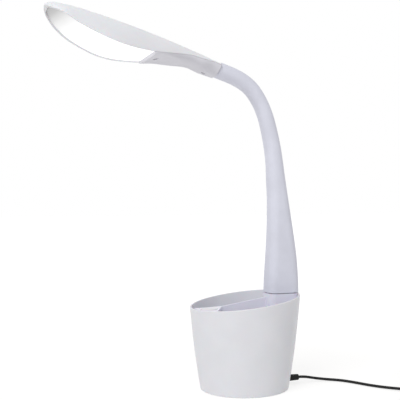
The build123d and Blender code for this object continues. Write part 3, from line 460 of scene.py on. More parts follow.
@dataclass(frozen=True)
class LitPanel:
    """The milky panel: it glows over the light board and dims high up towards the head's tip, partly
    where the board ends and partly as painted shade of the tip's wall, darker on the near side.
    """

    name: str = "diffuser_milk"
    milk: Colour = (0.25, 0.25, 0.25)
    roughness: float = 0.35
    frost_scale: float = 60.0
    frost_share: float = 0.02
    frost_depth: float = 0.02
    frost_strength: float = 0.2
    # Glow falloff towards the tip: partly the light board's end, partly painted shade from the tip's
    # wall, tilted darker towards the near side.
    dim_height: float = 428.0
    full_height: float = 388.0
    fade_direction: Row = (0.06, 0.0, 1.0)
    glow_and_shade_levels: tuple[Row, ...] = (
        (0.0, 0.12), (0.175, 0.22),
        (0.25, 0.35), (0.36, 0.51),
        (0.5, 0.65), (0.8, 1.0),
    )

    def build(self) -> Material:
        """Make the material.

        Returns:
            The finished material.
        """
        material, sheet, shader = new_material(self.name)
        place = sheet.place()
        inputs = {0: place, 1: self.fade_direction}
        height = sheet.add("ShaderNodeVectorMath", inputs, operation="DOT_PRODUCT")
        # Dim towards the tip: the glow's falloff together with painted shade of the tip's wall.
        ends = {
            "From Min": self.dim_height * MILLIMETRE,
            "From Max": self.full_height * MILLIMETRE,
        }
        along = sheet.span(height.outputs["Value"], ends)
        noise = sheet.add("ShaderNodeTexNoise", {"Scale": self.frost_scale, "Vector": place})
        frost = noise.outputs["Fac"]
        level = sheet.math("MULTIPLY_ADD", frost, self.frost_share, along)
        stops = [(part, (glow, glow, glow)) for part, glow in self.glow_and_shade_levels]
        inputs = {
            "Base Color": (*self.milk, 1),
            "Roughness": self.roughness,
            "Emission Strength": 1.0,
            "Emission Color": sheet.ramp(level, *stops),
        }
        sheet.fill(shader, inputs)
        sheet.bump(shader, frost, self.frost_depth, self.frost_strength)
        return material


@dataclass(frozen=True)
class CircuitLaminate:
    """A circuit board's laminate, with tracks under its solder mask."""

    name: str = "board_laminate"
    mask: Colour = (0.75, 0.76, 0.74)
    track: Colour = (0.6, 0.62, 0.6)
    roughness: float = 0.3
    track_scale: float = 320.0
    track_width_share: float = 0.05
    track_height: float = 0.03

    def build(self) -> Material:
        """Make the material.

        Returns:
            The finished material.
        """
        material, sheet, shader = new_material(self.name)
        inputs = {
            "Vector": sheet.place(),
            "Scale": self.track_scale,
            "Mortar Size": self.track_width_share,
            "Color1": (*self.mask, 1),
            "Color2": (*self.mask, 1),
            "Mortar": (*self.track, 1),
        }
        tracks = sheet.add("ShaderNodeTexBrick", inputs).outputs
        sheet.fill(shader, {"Roughness": self.roughness, "Base Color": tracks["Color"]})
        sheet.bump(shader, tracks["Fac"], self.track_height)
        return material


@dataclass(frozen=True)
class CopperWinding:
    """Enamelled wire laid turn beside turn, with painted shade in the grooves between the turns."""

    name: str = "winding_copper"
    wire: Colour = (0.55, 0.22, 0.08)
    shade: Colour = (0.2, 0.07, 0.02)
    wire_from: float = 0.5
    metallic: float = 0.8
    roughness: float = 0.3
    turn_scale: float = 500.0
    turn_depth: float = 0.2

    def build(self) -> Material:
        """Make the material.

        Returns:
            The finished material.
        """
        material, sheet, shader = new_material(self.name)
        inputs = {"Vector": sheet.place(), "Scale": self.turn_scale}
        waves = sheet.add("ShaderNodeTexWave", inputs, bands_direction="Z")
        turns = waves.outputs["Fac"]
        # The shade colour is painted shade between the turns.
        tone = sheet.ramp(turns, (0.0, self.shade), (self.wire_from, self.wire))
        inputs = {"Metallic": self.metallic, "Roughness": self.roughness, "Base Color": tone}
        sheet.fill(shader, inputs)
        sheet.bump(shader, turns, self.turn_depth)
        return material


class Slot(str, Enum):
    """The record's material slots."""

    SHELL = "shell_plastic"
    INSERT = "insert_plastic"
    COVER = "cover_plastic"
    SLEEVE = "sleeve_silicone"
    COLLAR = "collar_plastic"
    PANEL = "diffuser_milk"
    CORE = "core_steel"
    SCREW = "screw_steel"
    BALLAST = "ballast_iron"
    BASE = "base_plastic"
    PAD = "pad_rubber"
    LAMINATE = "board_laminate"
    BLACK = "part_black"
    WINDING = "winding_copper"
    LENS = "led_lens"
    LEAD = "lead_insulation"
    CORD = "cord_black"
    TIE = "tie_black"
    ADAPTER = "adapter_black"
    CONTACT = "contact_metal"


class Finishes:
    """Every finish of the lamp, by the record's slots."""

    PLAIN: tuple[Finish, ...] = (
        Finish("shell_plastic", (0.78, 0.785, 0.82), 0.42, subsurface=0.1, cloud_share=0.015),
        # Lighter and bluer than the shell: painted light and painted bluish bounce light on the
        # insert, which sits shaded inside the pot.
        Finish("insert_plastic", (0.84, 0.83, 0.93), 0.42, subsurface=0.1, cloud_share=0.015),
        Finish("cover_plastic", (0.7, 0.695, 0.745), 0.48, cloud_share=0.02),
        Finish("sleeve_silicone", (0.71, 0.72, 0.81), 0.55, grain_scale=2200, rub_and_highlight=0.1),
        Finish("collar_plastic", (0.5, 0.5, 0.54), 0.5),
        Finish("core_steel", (0.5, 0.5, 0.5), 0.3, 1.0, dust=0.0, cloud_share=0.1),
        Finish("screw_steel", (0.04, 0.04, 0.042), 0.5, 0.3, 0.3, dust=0.0, cloud_share=0.12),
        Finish("ballast_iron", (0.12, 0.12, 0.125), 0.6, 0.7, grain_depth=0.12, cloud_share=0.3),
        Finish("base_plastic", (0.5, 0.5, 0.54), 0.5, cloud_share=0.03),
        Finish("pad_rubber", (0.03, 0.03, 0.032), 0.8, grain_scale=900, grain_depth=0.15),
        Finish("part_black", (0.02, 0.02, 0.022), 0.35, dust=0.01),
        Finish("led_lens", (0.8, 0.7, 0.2), 0.2, coat=0.6, dust=0.0),
        Finish("lead_insulation", (0.5, 0.03, 0.025), 0.45, dust=0.0),
        Finish("cord_black", (0.006, 0.006, 0.006), 0.5, specular=0.25, grain_scale=2500, dust=0.01),
        Finish("tie_black", (0.012, 0.012, 0.013), 0.5),
        Finish("adapter_black", (0.02, 0.02, 0.022), 0.5, grain_depth=0.05, rub_and_highlight=0.15),
        Finish("contact_metal", (0.75, 0.74, 0.7), 0.22, 1.0, dust=0.0, cloud_share=0.05),
    )

    def __init__(self) -> None:
        """Build every material once."""
        groups = SurfaceGroups()
        self.materials: dict[str, Material] = {
            finish.name: finish.build(groups) for finish in self.PLAIN
        }
        for special in (LitPanel(), CircuitLaminate(), CopperWinding()):
            self.materials[special.name] = special.build()


# Placing a finished mesh


@dataclass
class Workshop:
    """Turns finished meshes into pieces of the lamp."""

    finishes: Finishes
    sharp_angle: float = 40.0

    def make_object(self, mesh_data: Mesh, name: str, slot: Slot) -> bpy.types.Object:
        """Make an object of a mesh that was built in millimetres.

        Args:
            mesh_data: The mesh, which is freed here.
            name: The piece's name.
            slot: The slot whose finish it gets.

        Returns:
            The object, at the origin.
        """
        bmesh.ops.scale(mesh_data, vec=Vector((MILLIMETRE,) * 3), verts=mesh_data.verts)
        mesh = bpy.data.meshes.new(name)
        mesh_data.to_mesh(mesh)
        mesh_data.free()
        mesh.shade_smooth()
        mesh.set_sharp_from_angle(angle=radians(self.sharp_angle))
        mesh.materials.append(self.finishes.materials[slot.value])
        piece = link_object(name, mesh)
        LOG.info("%s: %d faces in %s", name, len(mesh.polygons), slot.value)
        return piece

    def place(
        self, mesh_data: Mesh, name: str, slot: Slot, body: Body, nodes: tuple[str, ...]
    ) -> bpy.types.Object:
        """Make a piece that rides on a body and stands for CAD nodes.

        Args:
            mesh_data: The mesh in millimetres, which is freed here.
            name: The piece's name.
            slot: The slot whose finish it gets.
            body: The body that it rides on.
            nodes: The CAD nodes that it stands for.

        Returns:
            The placed piece.
        """
        piece = self.make_object(mesh_data, name, slot)
        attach(piece, body.value)
        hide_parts(*nodes)
        return piece


# Arm


@dataclass
class ArmSkin:
    """The arm's continuous tapered skin, in pieces that each span one joint."""

    shop: Workshop
    tower_width: float = 31.0
    tower_depth: float = 38.4
    corner_limit: float = 9.0
    corner_share: float = 0.45
    tower_y: float = 45.9
    tower_top: float = 109.5
    rise: float = 258.8
    reach: float = 76.6
    seam_gap: float = 0.8
    wall: float = 2.4
    crown: float = 0.5
    rings_per_row: int = 4
    least_steps: int = 3
    corner_segments: int = 6
    side_cuts: int = 6
    bend_margin: float = 0.2
    chord_step: float = 0.05
    square_share: float = 0.01
    station_shares: tuple[Row, ...] = (
        (0.000, 0.000, 1.000, 1.000), (-0.001, 0.079, 0.971, 0.968),
        (0.000, 0.151, 0.911, 0.935), (0.009, 0.224, 0.828, 0.903),
        (0.022, 0.296, 0.740, 0.871), (0.040, 0.369, 0.659, 0.839),
        (0.060, 0.442, 0.589, 0.806), (0.087, 0.516, 0.542, 0.790),
        (0.109, 0.589, 0.480, 0.774), (0.144, 0.663, 0.450, 0.758),
        (0.194, 0.734, 0.430, 0.742), (0.259, 0.804, 0.410, 0.742),
        (0.358, 0.870, 0.400, 0.755), (0.510, 0.931, 0.410, 0.774),
        (0.730, 0.973, 0.440, 0.790), (1.0475, 1.0063, 0.448, 0.806),
    )
    break_rows: tuple[float, ...] = (5.5, 7.5, 9.5, 11.2, 12.8)
    bodies: tuple[str, ...] = ("root", "arm_1", "arm_2", "arm_3", "arm_4", "arm_5", "head")

    def make_table(self) -> SmoothTable:
        """Put the stations into a smooth table by their number.

        Returns:
            A table of Y, Z, depth and width.
        """
        rows = []
        for back, up, depth_share, width_share in self.station_shares:
            y = self.tower_y - back * self.reach
            z = self.tower_top + up * self.rise
            rows.append((y, z, depth_share * self.tower_depth, width_share * self.tower_width))
        return SmoothTable(rows)

    def heading(self, table: SmoothTable, place: float) -> Vector:
        """Work out the arm's direction at a place in the table.

        Args:
            table: The stations' table.
            place: The place, in rows.

        Returns:
            The unit direction, in the plane of Y and Z.
        """
        before = table.read(max(place - self.chord_step, 0))
        after = table.read(min(place + self.chord_step, table.last))
        chord = Vector((0, after[0] - before[0], after[1] - before[1])).normalized()
        near_end = max(0.0, min(1.0, place - (table.last - 1)))
        near_start = max(0.0, min(1.0, 1 - place))
        chord = chord.lerp(NECK_HEADING, near_end * near_end)
        return chord.lerp(Vector((0, 0, 1)), near_start * near_start).normalized()

    def section(self, mesh_data: Mesh, width: float, depth: float, station: Matrix) -> list[Edge]:
        """Lay one rounded and slightly crowned section across the arm.

        Args:
            mesh_data: The mesh to add to.
            width: The section's width, across the lamp.
            depth: Its depth, over the back.
            station: The frame across the arm there.

        Returns:
            The edges of the section's ring.
        """
        made = bmesh.ops.create_grid(mesh_data, x_segments=1, y_segments=1, size=0.5)
        verts = made["verts"]
        bmesh.ops.scale(mesh_data, vec=Vector((width, depth, 1)), verts=verts)
        rounded = bmesh.ops.bevel(
            mesh_data,
            geom=verts,
            offset=min(self.corner_limit, self.corner_share * depth),
            offset_type="OFFSET",
            affect="VERTICES",
            segments=self.corner_segments,
            profile=0.5,
            material=-1,
        )
        ring = list({edge for vert in rounded["verts"] for edge in vert.link_edges})
        sides = [edge for edge in ring if self.lies_square(edge)]
        bmesh.ops.subdivide_edges(mesh_data, edges=sides, cuts=self.side_cuts)
        verts = self.connected(ring[0].verts[0])
        for vert in verts:
            across = vert.co.x / (width / 2)
            over = vert.co.y / (depth / 2)
            vert.co.x += self.crown * across * (1 - over * over)
        bmesh.ops.transform(mesh_data, matrix=station, verts=verts)
        faces = list({face for vert in verts for face in vert.link_faces})
        bmesh.ops.delete(mesh_data, geom=faces, context="FACES_ONLY")
        return list({edge for vert in verts for edge in vert.link_edges})

    def lies_square(self, edge: Edge) -> bool:
        """Tell whether an edge is one of the straight sides between the round corners."""
        run = edge.verts[1].co - edge.verts[0].co
        return min(abs(run.x), abs(run.y)) < edge.calc_length() * self.square_share

    @staticmethod
    def connected(start: Vert) -> list[Vert]:
        """Gather the vertices that edges join to one vertex.

        Args:
            start: The first vertex.

        Returns:
            All vertices of its island.
        """
        found = {start}
        waiting = [start]
        while waiting:
            edges = waiting.pop().link_edges
            fresh = {vert for edge in edges for vert in edge.verts} - found
            found |= fresh
            waiting += fresh
        return list(found)

    def build(self) -> None:
        """Build the skin's pieces, one across each joint."""
        table = self.make_table()
        first = self.seam_gap / (self.station_shares[1][1] * self.rise)
        last_row = (table.rows[-1] - table.rows[-2]).to_2d()
        final = table.last - self.seam_gap / last_row.length
        ends = [first, *self.break_rows, final]
        side = Vector((1, 0, 0))
        for number, (lower_end, upper_end) in enumerate(zip(ends[:-1], ends[1:])):
            mesh_data = bmesh.new()
            rows = upper_end - lower_end
            steps = max(self.least_steps, round(rows * self.rings_per_row))
            rings = []
            for step in range(steps + 1):
                place = lower_end + rows * step / steps
                y, z, depth, width = table.read(place)
                heading = self.heading(table, place)
                station = line_frame(Vector((0, y, z)), side, heading.cross(side), heading)
                rings.append(self.section(mesh_data, width, depth, station))
            for lower, upper in zip(rings[:-1], rings[1:]):
                bmesh.ops.bridge_loops(mesh_data, edges=lower + upper)
            bmesh.ops.recalc_face_normals(mesh_data, faces=mesh_data.faces)
            bmesh.ops.solidify(mesh_data, geom=mesh_data.faces, thickness=self.wall)
            piece = self.shop.make_object(mesh_data, f"arm_skin_{number + 1}", Slot.SLEEVE)
            nodes = ("sleeve_5", "sleeve_6") if upper_end == final else (f"sleeve_{number}",)
            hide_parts(*nodes)
            start, end = [Vector((0, *table.read(place)[:2])) for place in (lower_end, upper_end)]
            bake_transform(piece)


# Head


@dataclass
class HeadShell:
    """The head's arched leaf-shaped shell, with a rolled lip and the posts inside it."""

    shop: Workshop
    tip_y: float = -229.2
    top_z: float = 436.0
    length: float = 202.4
    drop: float = 60.5
    arch_radius: float = 61.0
    wall: float = 2.0
    nose_share: float = 0.1
    lip: float = 1.2
    lip_segments: int = 3
    arc_steps: int = 40
    search_steps: int = 40
    rings_per_row: int = 4
    seam: Row = (0.0, -34.34, 369.93)
    post_segments: int = 24
    board_middle: Row = (0.0, -160.0, 408.6)
    board_slope: float = 15.0
    board_post_radius: float = 2.5
    board_post_places: tuple[Row, ...] = ((-19, -42), (19, -42), (-19, 42), (19, 42))
    boss_radius: float = 3.0
    boss_feet: tuple[Row, ...] = ((0.0, -107.36, 385.98), (0.0, -50.68, 374.5))
    station_shares: tuple[Row, ...] = (
        (0.000, 0.107, 0.107, 0.150), (0.005, 0.145, 0.078, 0.298),
        (0.016, 0.190, 0.064, 0.538), (0.026, 0.223, 0.058, 0.670),
        (0.045, 0.278, 0.055, 0.875), (0.065, 0.331, 0.063, 1.025),
        (0.085, 0.382, 0.078, 1.110), (0.105, 0.431, 0.089, 1.131),
        (0.144, 0.527, 0.109, 1.080), (0.194, 0.621, 0.145, 1.057),
        (0.243, 0.702, 0.185, 1.043), (0.317, 0.805, 0.248, 1.023),
        (0.391, 0.873, 0.316, 0.964), (0.465, 0.909, 0.385, 0.867),
        (0.537, 0.926, 0.456, 0.779), (0.614, 0.926, 0.537, 0.697),
        (0.678, 0.917, 0.607, 0.615), (0.732, 0.907, 0.669, 0.557),
        (0.792, 0.909, 0.738, 0.500), (0.838, 0.941, 0.793, 0.475),
        (0.880, 0.962, 0.845, 0.466), (0.924, 0.982, 0.902, 0.459),
        (0.964, 1.022, 0.953, 0.459), (0.999, 1.056, 0.999, 0.459),
        (1.033, 1.090, 1.044, 0.459),
    )

    def make_table(self) -> SmoothTable:
        """Put the stations into a smooth table by their number.

        Returns:
            A table of Y, the rim's height, the ridge's height and the arch's radius.
        """
        rows = []
        for place, rim_fall, ridge_fall, radius_share in self.station_shares:
            rim = self.top_z - rim_fall * self.drop
            ridge = self.top_z - ridge_fall * self.drop
            y = self.tip_y + place * self.length
            rows.append((y, rim, ridge, radius_share * self.arch_radius))
        return SmoothTable(rows)

    def rim_height(self, table: SmoothTable, y: float) -> float:
        """Find the rim's height at a place along the head.

        Args:
            table: The stations' table.
            y: The place, between the first and the last station.

        Returns:
            The height of the rim there.
        """
        low, high = 0, table.last
        for _ in range(self.search_steps):
            middle = (low + high) / 2
            if table.read(middle)[0] < y:
                low = middle
            else:
                high = middle
        return table.read(low)[1]

    def arc(self, mesh_data: Mesh, y: float, rim: float, ridge: float, radius: float) -> list[Vert]:
        """Spin one arc of the arch from the far rim to the near one.

        Args:
            mesh_data: The mesh to add to.
            y: The arc's place along the head.
            rim: The height of its two ends.
            ridge: The height of its middle.
            radius: Its radius.

        Returns:
            The arc's vertices, from end to end.
        """
        centre = Vector((0, y, ridge - radius))
        half = acos(max(-1.0, min(1.0, 1 - (ridge - rim) / radius)))
        start = centre + Vector((-radius * sin(half), 0, radius * cos(half)))
        first = bmesh.ops.create_vert(mesh_data, co=start)["vert"][0]
        known = set(mesh_data.verts)
        bmesh.ops.spin(
            mesh_data,
            geom=[first],
            cent=centre,
            axis=Vector((0, 1, 0)),
            angle=2 * half,
            steps=self.arc_steps,
            use_duplicate=False,
        )
        made = [vert for vert in mesh_data.verts if vert not in known]
        return sorted([first, *made], key=lambda vert: vert.co.x)

    def wall_ring(
        self, mesh_data: Mesh, table: SmoothTable, place: float
    ) -> tuple[list[Vert], list[Vert]]:
        """Lay the outer and the inner arc of one ring and join their ends.

        Args:
            mesh_data: The mesh to add to.
            table: The stations' table.
            place: The ring's place in the table.

        Returns:
            The vertices of the outer and of the inner arc.
        """
        y, rim, ridge, radius = table.read(place)
        share = (y - self.tip_y) / self.length
        inner_y = y + self.wall * max(0.0, 1 - share / self.nose_share)
        inner_rim = self.rim_height(table, inner_y)
        outer = self.arc(mesh_data, y, rim, ridge, radius)
        inner = self.arc(mesh_data, inner_y, inner_rim, ridge - self.wall, radius - self.wall)
        for end in (0, -1):
            bmesh.ops.contextual_create(mesh_data, geom=[outer[end], inner[end]])
        return outer, inner

    def close_nose(self, mesh_data: Mesh, outer: list[Vert], inner: list[Vert]) -> None:
        """Close the shell ahead of its first ring, round the tip.

        Args:
            mesh_data: The mesh to close.
            outer: The first ring's outer arc.
            inner: Its inner arc.
        """
        tip_height = self.top_z - self.station_shares[0][1] * self.drop
        tip = Vector((0, self.tip_y, tip_height))
        tip_vert = bmesh.ops.create_vert(mesh_data, co=tip)["vert"][0]
        for before, after in zip(outer[:-1], outer[1:]):
            bmesh.ops.contextual_create(mesh_data, geom=[before, after, tip_vert])
        bmesh.ops.contextual_create(mesh_data, geom=inner)
        underside = [tip_vert, outer[0], inner[0], inner[-1], outer[-1]]
        bmesh.ops.contextual_create(mesh_data, geom=underside)

    def add_post(
        self, mesh_data: Mesh, inside: BVHTree, foot: Vector, up: Vector, radius: float
    ) -> None:
        """Stand a post between a seat and the middle of the shell's wall.

        Args:
            mesh_data: The mesh to add to.
            inside: The shell's surface, to find the wall above the seat.
            foot: The middle of the seat.
            up: The direction towards the wall.
            radius: The post's radius.
        """
        distance = inside.ray_cast(foot, up)[3] + self.wall / 2
        turn = up.to_track_quat("Z", "Y").to_matrix().to_4x4()
        bmesh.ops.create_cone(
            mesh_data,
            cap_ends=True,
            segments=self.post_segments,
            radius1=radius,
            radius2=radius,
            depth=distance,
            matrix=Matrix.Translation(foot + up * distance / 2) @ turn,
        )

    def build(self) -> None:
        """Build the shell, roll its lip, cut it at the neck's seam and stand its posts."""
        table = self.make_table()
        mesh_data = bmesh.new()
        rings = []
        for step in range(self.rings_per_row, table.last * self.rings_per_row):
            rings.append(self.wall_ring(mesh_data, table, step / self.rings_per_row))
        for before, after in zip(rings[:-1], rings[1:]):
            loops = []
            for outer, inner in (before, after):
                ring = set(outer + inner)
                for vert in outer + inner:
                    loops += [edge for edge in vert.link_edges if edge.other_vert(vert) in ring]
            bmesh.ops.bridge_loops(mesh_data, edges=list(set(loops)))
        self.close_nose(mesh_data, *rings[0])
        rim = {vert for outer, inner in rings for vert in (outer[0], outer[-1])}
        lip_edges = [edge for edge in mesh_data.edges if rim.issuperset(edge.verts)]
        bmesh.ops.recalc_face_normals(mesh_data, faces=mesh_data.faces)
        bmesh.ops.bevel(
            mesh_data,
            geom=lip_edges,
            offset=self.lip,
            offset_type="OFFSET",
            affect="EDGES",
            segments=self.lip_segments,
            profile=0.5,
            material=-1,
            clamp_overlap=True,
        )
        cut = bmesh.ops.bisect_plane(
            mesh_data,
            geom=[*mesh_data.verts, *mesh_data.edges, *mesh_data.faces],
            plane_co=Vector(self.seam),
            plane_no=NECK_HEADING,
            clear_inner=True,
        )
        edges = [item for item in cut["geom_cut"] if isinstance(item, Edge)]
        bmesh.ops.contextual_create(mesh_data, geom=edges)
        inside = BVHTree.FromBMesh(mesh_data)
        slope = radians(self.board_slope)
        up = Vector((0, sin(slope), cos(slope)))
        along = Vector((0, cos(slope), -sin(slope)))
        for across, ahead in self.board_post_places:
            foot = Vector(self.board_middle) + Vector((across, 0, 0)) + along * ahead
            self.add_post(mesh_data, inside, foot, up, self.board_post_radius)
        for place in self.boss_feet:
            self.add_post(mesh_data, inside, Vector(place), Vector((0, 0, 1)), self.boss_radius)
        self.shop.place(mesh_data, "head_arch", Slot.SHELL, Body.HEAD, ("head_shell",))


# Cord


@dataclass
class Cord:
    """The flat lead from the plug to the adapter, with what is put away wound in a round coil."""

    shop: Workshop
    width: float = 4.0
    thickness: float = 3.2
    waist: float = 0.35
    groove_share: float = 0.05
    ring_points: int = 16
    spline_resolution: int = 4
    spline_order: int = 3
    length: float = 1490.0
    exit_point: Row = (0.0, 69.07, 7.0)
    run: tuple[Row, ...] = (
        (0.0, 69.07, 7.0), (0.0, 76.07, 7.0),
        (0.4, 89.0, 4.2), (3.5, 104.0, 2.1),
        (13.0, 118.0, 2.0), (29.0, 129.0, 2.0),
        (48.0, 139.0, 2.0), (66.5, 152.5, 2.2),
        (85.84, 168.94, 3.2),
    )
    tail: tuple[Row, ...] = (
        (98.42, 227.76, 16.7), (90.5, 237.5, 15.3),
        (81.5, 244.8, 13.6), (73.5, 247.0, 13.0),
        (66.0, 247.0, 13.0),
    )
    coil_x: float = 83.4
    coil_y: float = 201.3
    coil_radius: float = 27.0
    coil_pitch: float = 4.5
    coil_start: float = -52.0
    coil_base: float = 3.2
    layer_turns: tuple[float, ...] = (2.25, 2.25, 2.25, 2.5)
    climb_turns: float = 0.5
    points_per_turn: int = 16

    def coil_points(self) -> list[Row]:
        """Lay the control points of the coil's turns, layer on layer.

        Returns:
            The points in millimetres.
        """
        ends = list(accumulate(self.layer_turns))
        inner = self.coil_radius - self.coil_pitch * self.layer_turns[0]
        points = []
        for number in range(round(ends[-1] * self.points_per_turn) + 1):
            turns = number / self.points_per_turn
            layer = next((k for k, end in enumerate(ends) if turns <= end), len(ends) - 1)
            done = turns - (ends[layer - 1] if layer else 0)
            run = self.coil_pitch * done
            radius = inner + run if layer % 2 else self.coil_radius - run
            climb = 0.0
            for end in ends[:-1]:
                part = min(max((turns - end) / self.climb_turns + 0.5, 0), 1)
                climb += part * part * (3 - 2 * part)
            angle = radians(self.coil_start) + tau * turns
            x = self.coil_x + radius * cos(angle)
            y = self.coil_y + radius * sin(angle)
            points.append((x, y, self.coil_base + self.coil_pitch * climb))
        return points

    def middle_line(self) -> list[Vector]:
        """Run one smooth spline through the route and read its points.

        Returns:
            The points of the middle line in millimetres.
        """
        controls = [*self.run, *self.coil_points(), *self.tail]
        curve = bpy.data.curves.new("cord_route", "CURVE")
        curve.dimensions = "3D"
        curve.resolution_u = self.spline_resolution
        spline = curve.splines.new("NURBS")
        spline.points.add(len(controls) - 1)
        for point, place in zip(spline.points, controls):
            point.co = (*place, 1)
        spline.order_u = self.spline_order
        spline.use_endpoint_u = True
        route = link_object("cord_route", curve)
        read = bpy.data.meshes.new_from_object(route)
        points = [vert.co.copy() for vert in read.vertices]
        bpy.data.objects.remove(route)
        bpy.data.curves.remove(curve)
        bpy.data.meshes.remove(read)
        return points

    def section(self, mesh_data: Mesh) -> list[Edge]:
        """Make the lead's flat section with a groove between its two cores.

        Args:
            mesh_data: The mesh to start.

        Returns:
            The ring's edges.
        """
        made = bmesh.ops.create_circle(mesh_data, segments=self.ring_points, radius=0.5)
        verts = made["verts"]
        bmesh.ops.scale(mesh_data, vec=Vector((self.width, self.thickness, 1)), verts=verts)
        for vert in verts:
            if abs(vert.co.x) < self.width * self.groove_share:
                vert.co.y += -self.waist if vert.co.y > 0 else self.waist
        return list({edge for vert in verts for edge in vert.link_edges})

    def build(self) -> None:
        line = self.middle_line()
        mesh_data = bmesh.new()
        edges = self.section(mesh_data)
        verts = list({vert for edge in edges for vert in edge.verts})
        up = Vector((0, 0, 1))
        frames = []
        for point, before, after in zip(line, line[:1] + line[:-1], line[1:] + line[-1:]):
            along = (after - before).normalized()
            across = along.cross(up).normalized()
            frames.append(line_frame(point, across, across.cross(along), along))
        bmesh.ops.contextual_create(mesh_data, geom=edges)
        bmesh.ops.transform(mesh_data, matrix=frames[0], verts=verts)
        for before, after in zip(frames[:-1], frames[1:]):
            made = bmesh.ops.extrude_edge_only(mesh_data, edges=edges)
            verts = [item for item in made["geom"] if isinstance(item, Vert)]
            ring = set(verts)
            sides = [item for item in made["geom"] if isinstance(item, Edge)]
            edges = [edge for edge in sides if ring.issuperset(edge.verts)]
            bmesh.ops.transform(mesh_data, matrix=after @ before.inverted(), verts=verts)
        bmesh.ops.contextual_create(mesh_data, geom=edges)
        bmesh.ops.recalc_face_normals(mesh_data, faces=mesh_data.faces)
        piece = self.shop.place(
            mesh_data, "lead", Slot.CORD, Body.POT, ("cord_run", "cord_coil", "cord_tail")
        )


# Carried-over nodes


@dataclass
class CarriedNodes:
    """The CAD nodes whose shape stays, each with its finish."""

    finishes: Finishes
    NODES = {
        Slot.SHELL: ("pot_shell", "power_button"),
        Slot.INSERT: ("pot_insert",),
        Slot.COVER: ("neck_cover",),
        Slot.COLLAR: ("neck_collar",),
        Slot.PANEL: ("diffuser",),
        Slot.BASE: ("base_cover",),
        Slot.PAD: ("base_pad",),
        Slot.BALLAST: ("ballast_plate",),
        Slot.SCREW: (
            *[f"base_screw_{number}" for number in range(1, 5)],
            *[f"{board}_screw_{number}" for board in ("board", "led") for number in (1, 2)],
            "cover_screw_front",
            "cover_screw_back",
        ),
        Slot.CORE: (
            *[f"core_{number}" for number in range(7)],
            "arm_ferrule",
            "arm_washer",
            "arm_nut",
        ),
        Slot.LAMINATE: ("control_board", "switch_board", "led_board"),
        Slot.BLACK: ("board_capacitor", "key_switch", "dc_jack"),
        Slot.WINDING: ("board_inductor",),
        Slot.LENS: ("leds",),
        Slot.LEAD: ("base_lead", "head_lead"),
        Slot.CORD: ("plug_body",),
        Slot.TIE: ("cord_tie",),
        Slot.ADAPTER: ("adapter",),
        Slot.CONTACT: ("plug_tip", "adapter_pin_1", "adapter_pin_2"),
    }

    def dress(self) -> None:
        """Give every carried node its finish."""
        for slot, names in self.NODES.items():
            for name in names:
                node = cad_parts[name]
                if not node.material_slots:
                    node.data.materials.append(None)
                for place in node.material_slots:
                    place.material = self.finishes.materials[slot.value]
                LOG.info("%s carried over in %s", name, slot.value)


# Floor, lamps and camera


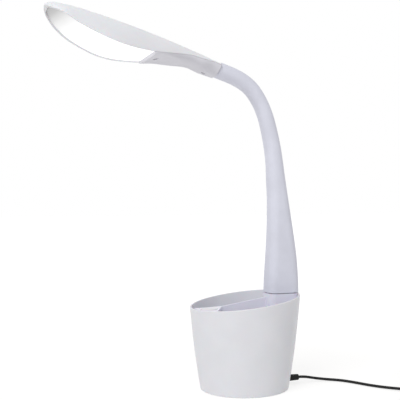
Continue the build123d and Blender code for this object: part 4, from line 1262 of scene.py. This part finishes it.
@dataclass
class Stage:
    """The white floor and surroundings, the studio's lamps and the camera."""

    key_place: Row = (1.25, -1.35, 2.1)
    key_aim: Row = (0.0, 0.0, 0.2)
    key_size: float = 1.2
    key_power: float = 28.0
    floor_half_size: float = 6.0
    shadow_share: float = 0.3
    white_strength: float = 1.1
    keep_shadow_within: float = 0.2
    white_beyond: float = 0.5
    floor_seen: Colour = (1.0, 0.985, 0.96)
    floor_bounce: Colour = (0.92, 0.91, 0.91)
    world_level: float = 0.6
    azimuth: float = 70.0
    distance: float = 0.95
    eye_height: float = 0.231
    focal_share: float = 2.03
    shift_x: float = -0.11125
    shift_y: float = -0.025
    sensor: float = 36.0
    far_clip: float = 100.0

    def make_floor(self) -> None:
        """Lay the floor, white in the picture and shaded under the lamp."""
        mesh_data = bmesh.new()
        bmesh.ops.create_grid(mesh_data, x_segments=1, y_segments=1, size=self.floor_half_size)
        mesh = bpy.data.meshes.new("floor")
        mesh_data.to_mesh(mesh)
        mesh_data.free()
        material, sheet, _ = new_material("floor_white")
        sheet.tree.nodes.clear()
        seen = sheet.seen_rays()
        tint = sheet.mix(seen, (*self.floor_bounce, 1), (*self.floor_seen, 1))
        diffuse = sheet.add("ShaderNodeBsdfDiffuse", {"Color": tint})
        white = sheet.add("ShaderNodeEmission", {"Strength": self.white_strength})
        away = sheet.add("ShaderNodeVectorMath", {0: sheet.place()}, operation="LENGTH")
        ends = {
            "From Min": self.keep_shadow_within,
            "From Max": self.white_beyond,
            "To Min": 1 - self.shadow_share,
        }
        fade = sheet.span(away.outputs["Value"], ends, interpolation_type="SMOOTHSTEP")
        share = sheet.math("MULTIPLY", seen, fade)
        inputs = {"Fac": share, 1: diffuse.outputs[0], 2: white.outputs[0]}
        mix = sheet.add("ShaderNodeMixShader", inputs)
        sheet.add("ShaderNodeOutputMaterial", {"Surface": mix.outputs[0]})
        mesh.materials.append(material)
        link_object("floor", mesh)

    def make_world(self) -> None:
        """Fill the surroundings with plain light, white where it is seen."""
        world = bpy.data.worlds.new("studio")
        bpy.context.scene.world = world
        world.use_nodes = True
        world.node_tree.nodes.clear()
        sheet = NodeSheet(world.node_tree)
        level = sheet.span(sheet.seen_rays(), {"To Min": self.world_level})
        back = sheet.add("ShaderNodeBackground", {"Color": (1, 1, 1, 1), "Strength": level})
        sheet.add("ShaderNodeOutputWorld", {"Surface": back.outputs[0]})

    def make_key_lamp(self) -> None:
        """Hang the one soft area lamp."""
        data = bpy.data.lights.new("key_lamp", "AREA")
        data.size = self.key_size
        data.energy = self.key_power
        lamp = link_object("key_lamp", data)
        lamp.location = self.key_place
        facing = Vector(self.key_aim) - Vector(self.key_place)
        lamp.rotation_euler = facing.to_track_quat("-Z", "Y").to_euler()

    def make_camera(self) -> None:
        """Set the camera level, at the photograph's angle and distance."""
        data = bpy.data.cameras.new("camera")
        data.sensor_width = self.sensor
        data.sensor_fit = "HORIZONTAL"
        data.lens = self.focal_share * self.sensor
        data.shift_x = self.shift_x
        data.shift_y = self.shift_y
        data.clip_end = self.far_clip
        camera = link_object("camera", data)
        turn = radians(self.azimuth)
        facing = Vector((-sin(turn), cos(turn), 0))
        camera.location = Vector((0, 0, self.eye_height)) - facing * self.distance
        camera.rotation_euler = facing.to_track_quat("-Z", "Y").to_euler()
        bpy.context.scene.camera = camera

    def build(self) -> None:
        """Set up the whole stage."""
        self.make_floor()
        self.make_world()
        self.make_key_lamp()
        self.make_camera()
        bpy.context.scene.view_settings.view_transform = "Standard"


def main() -> None:
    """Build the dressed lamp and its stage in order."""
    logging.basicConfig(level=logging.INFO, format="%(message)s")
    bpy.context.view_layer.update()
    finishes = Finishes()
    shop = Workshop(finishes)
    Stage().build()
    CarriedNodes(finishes).dress()
    Cord(shop).build()
    ArmSkin(shop).build()
    HeadShell(shop).build()


if __name__ == "__main__":
    main()
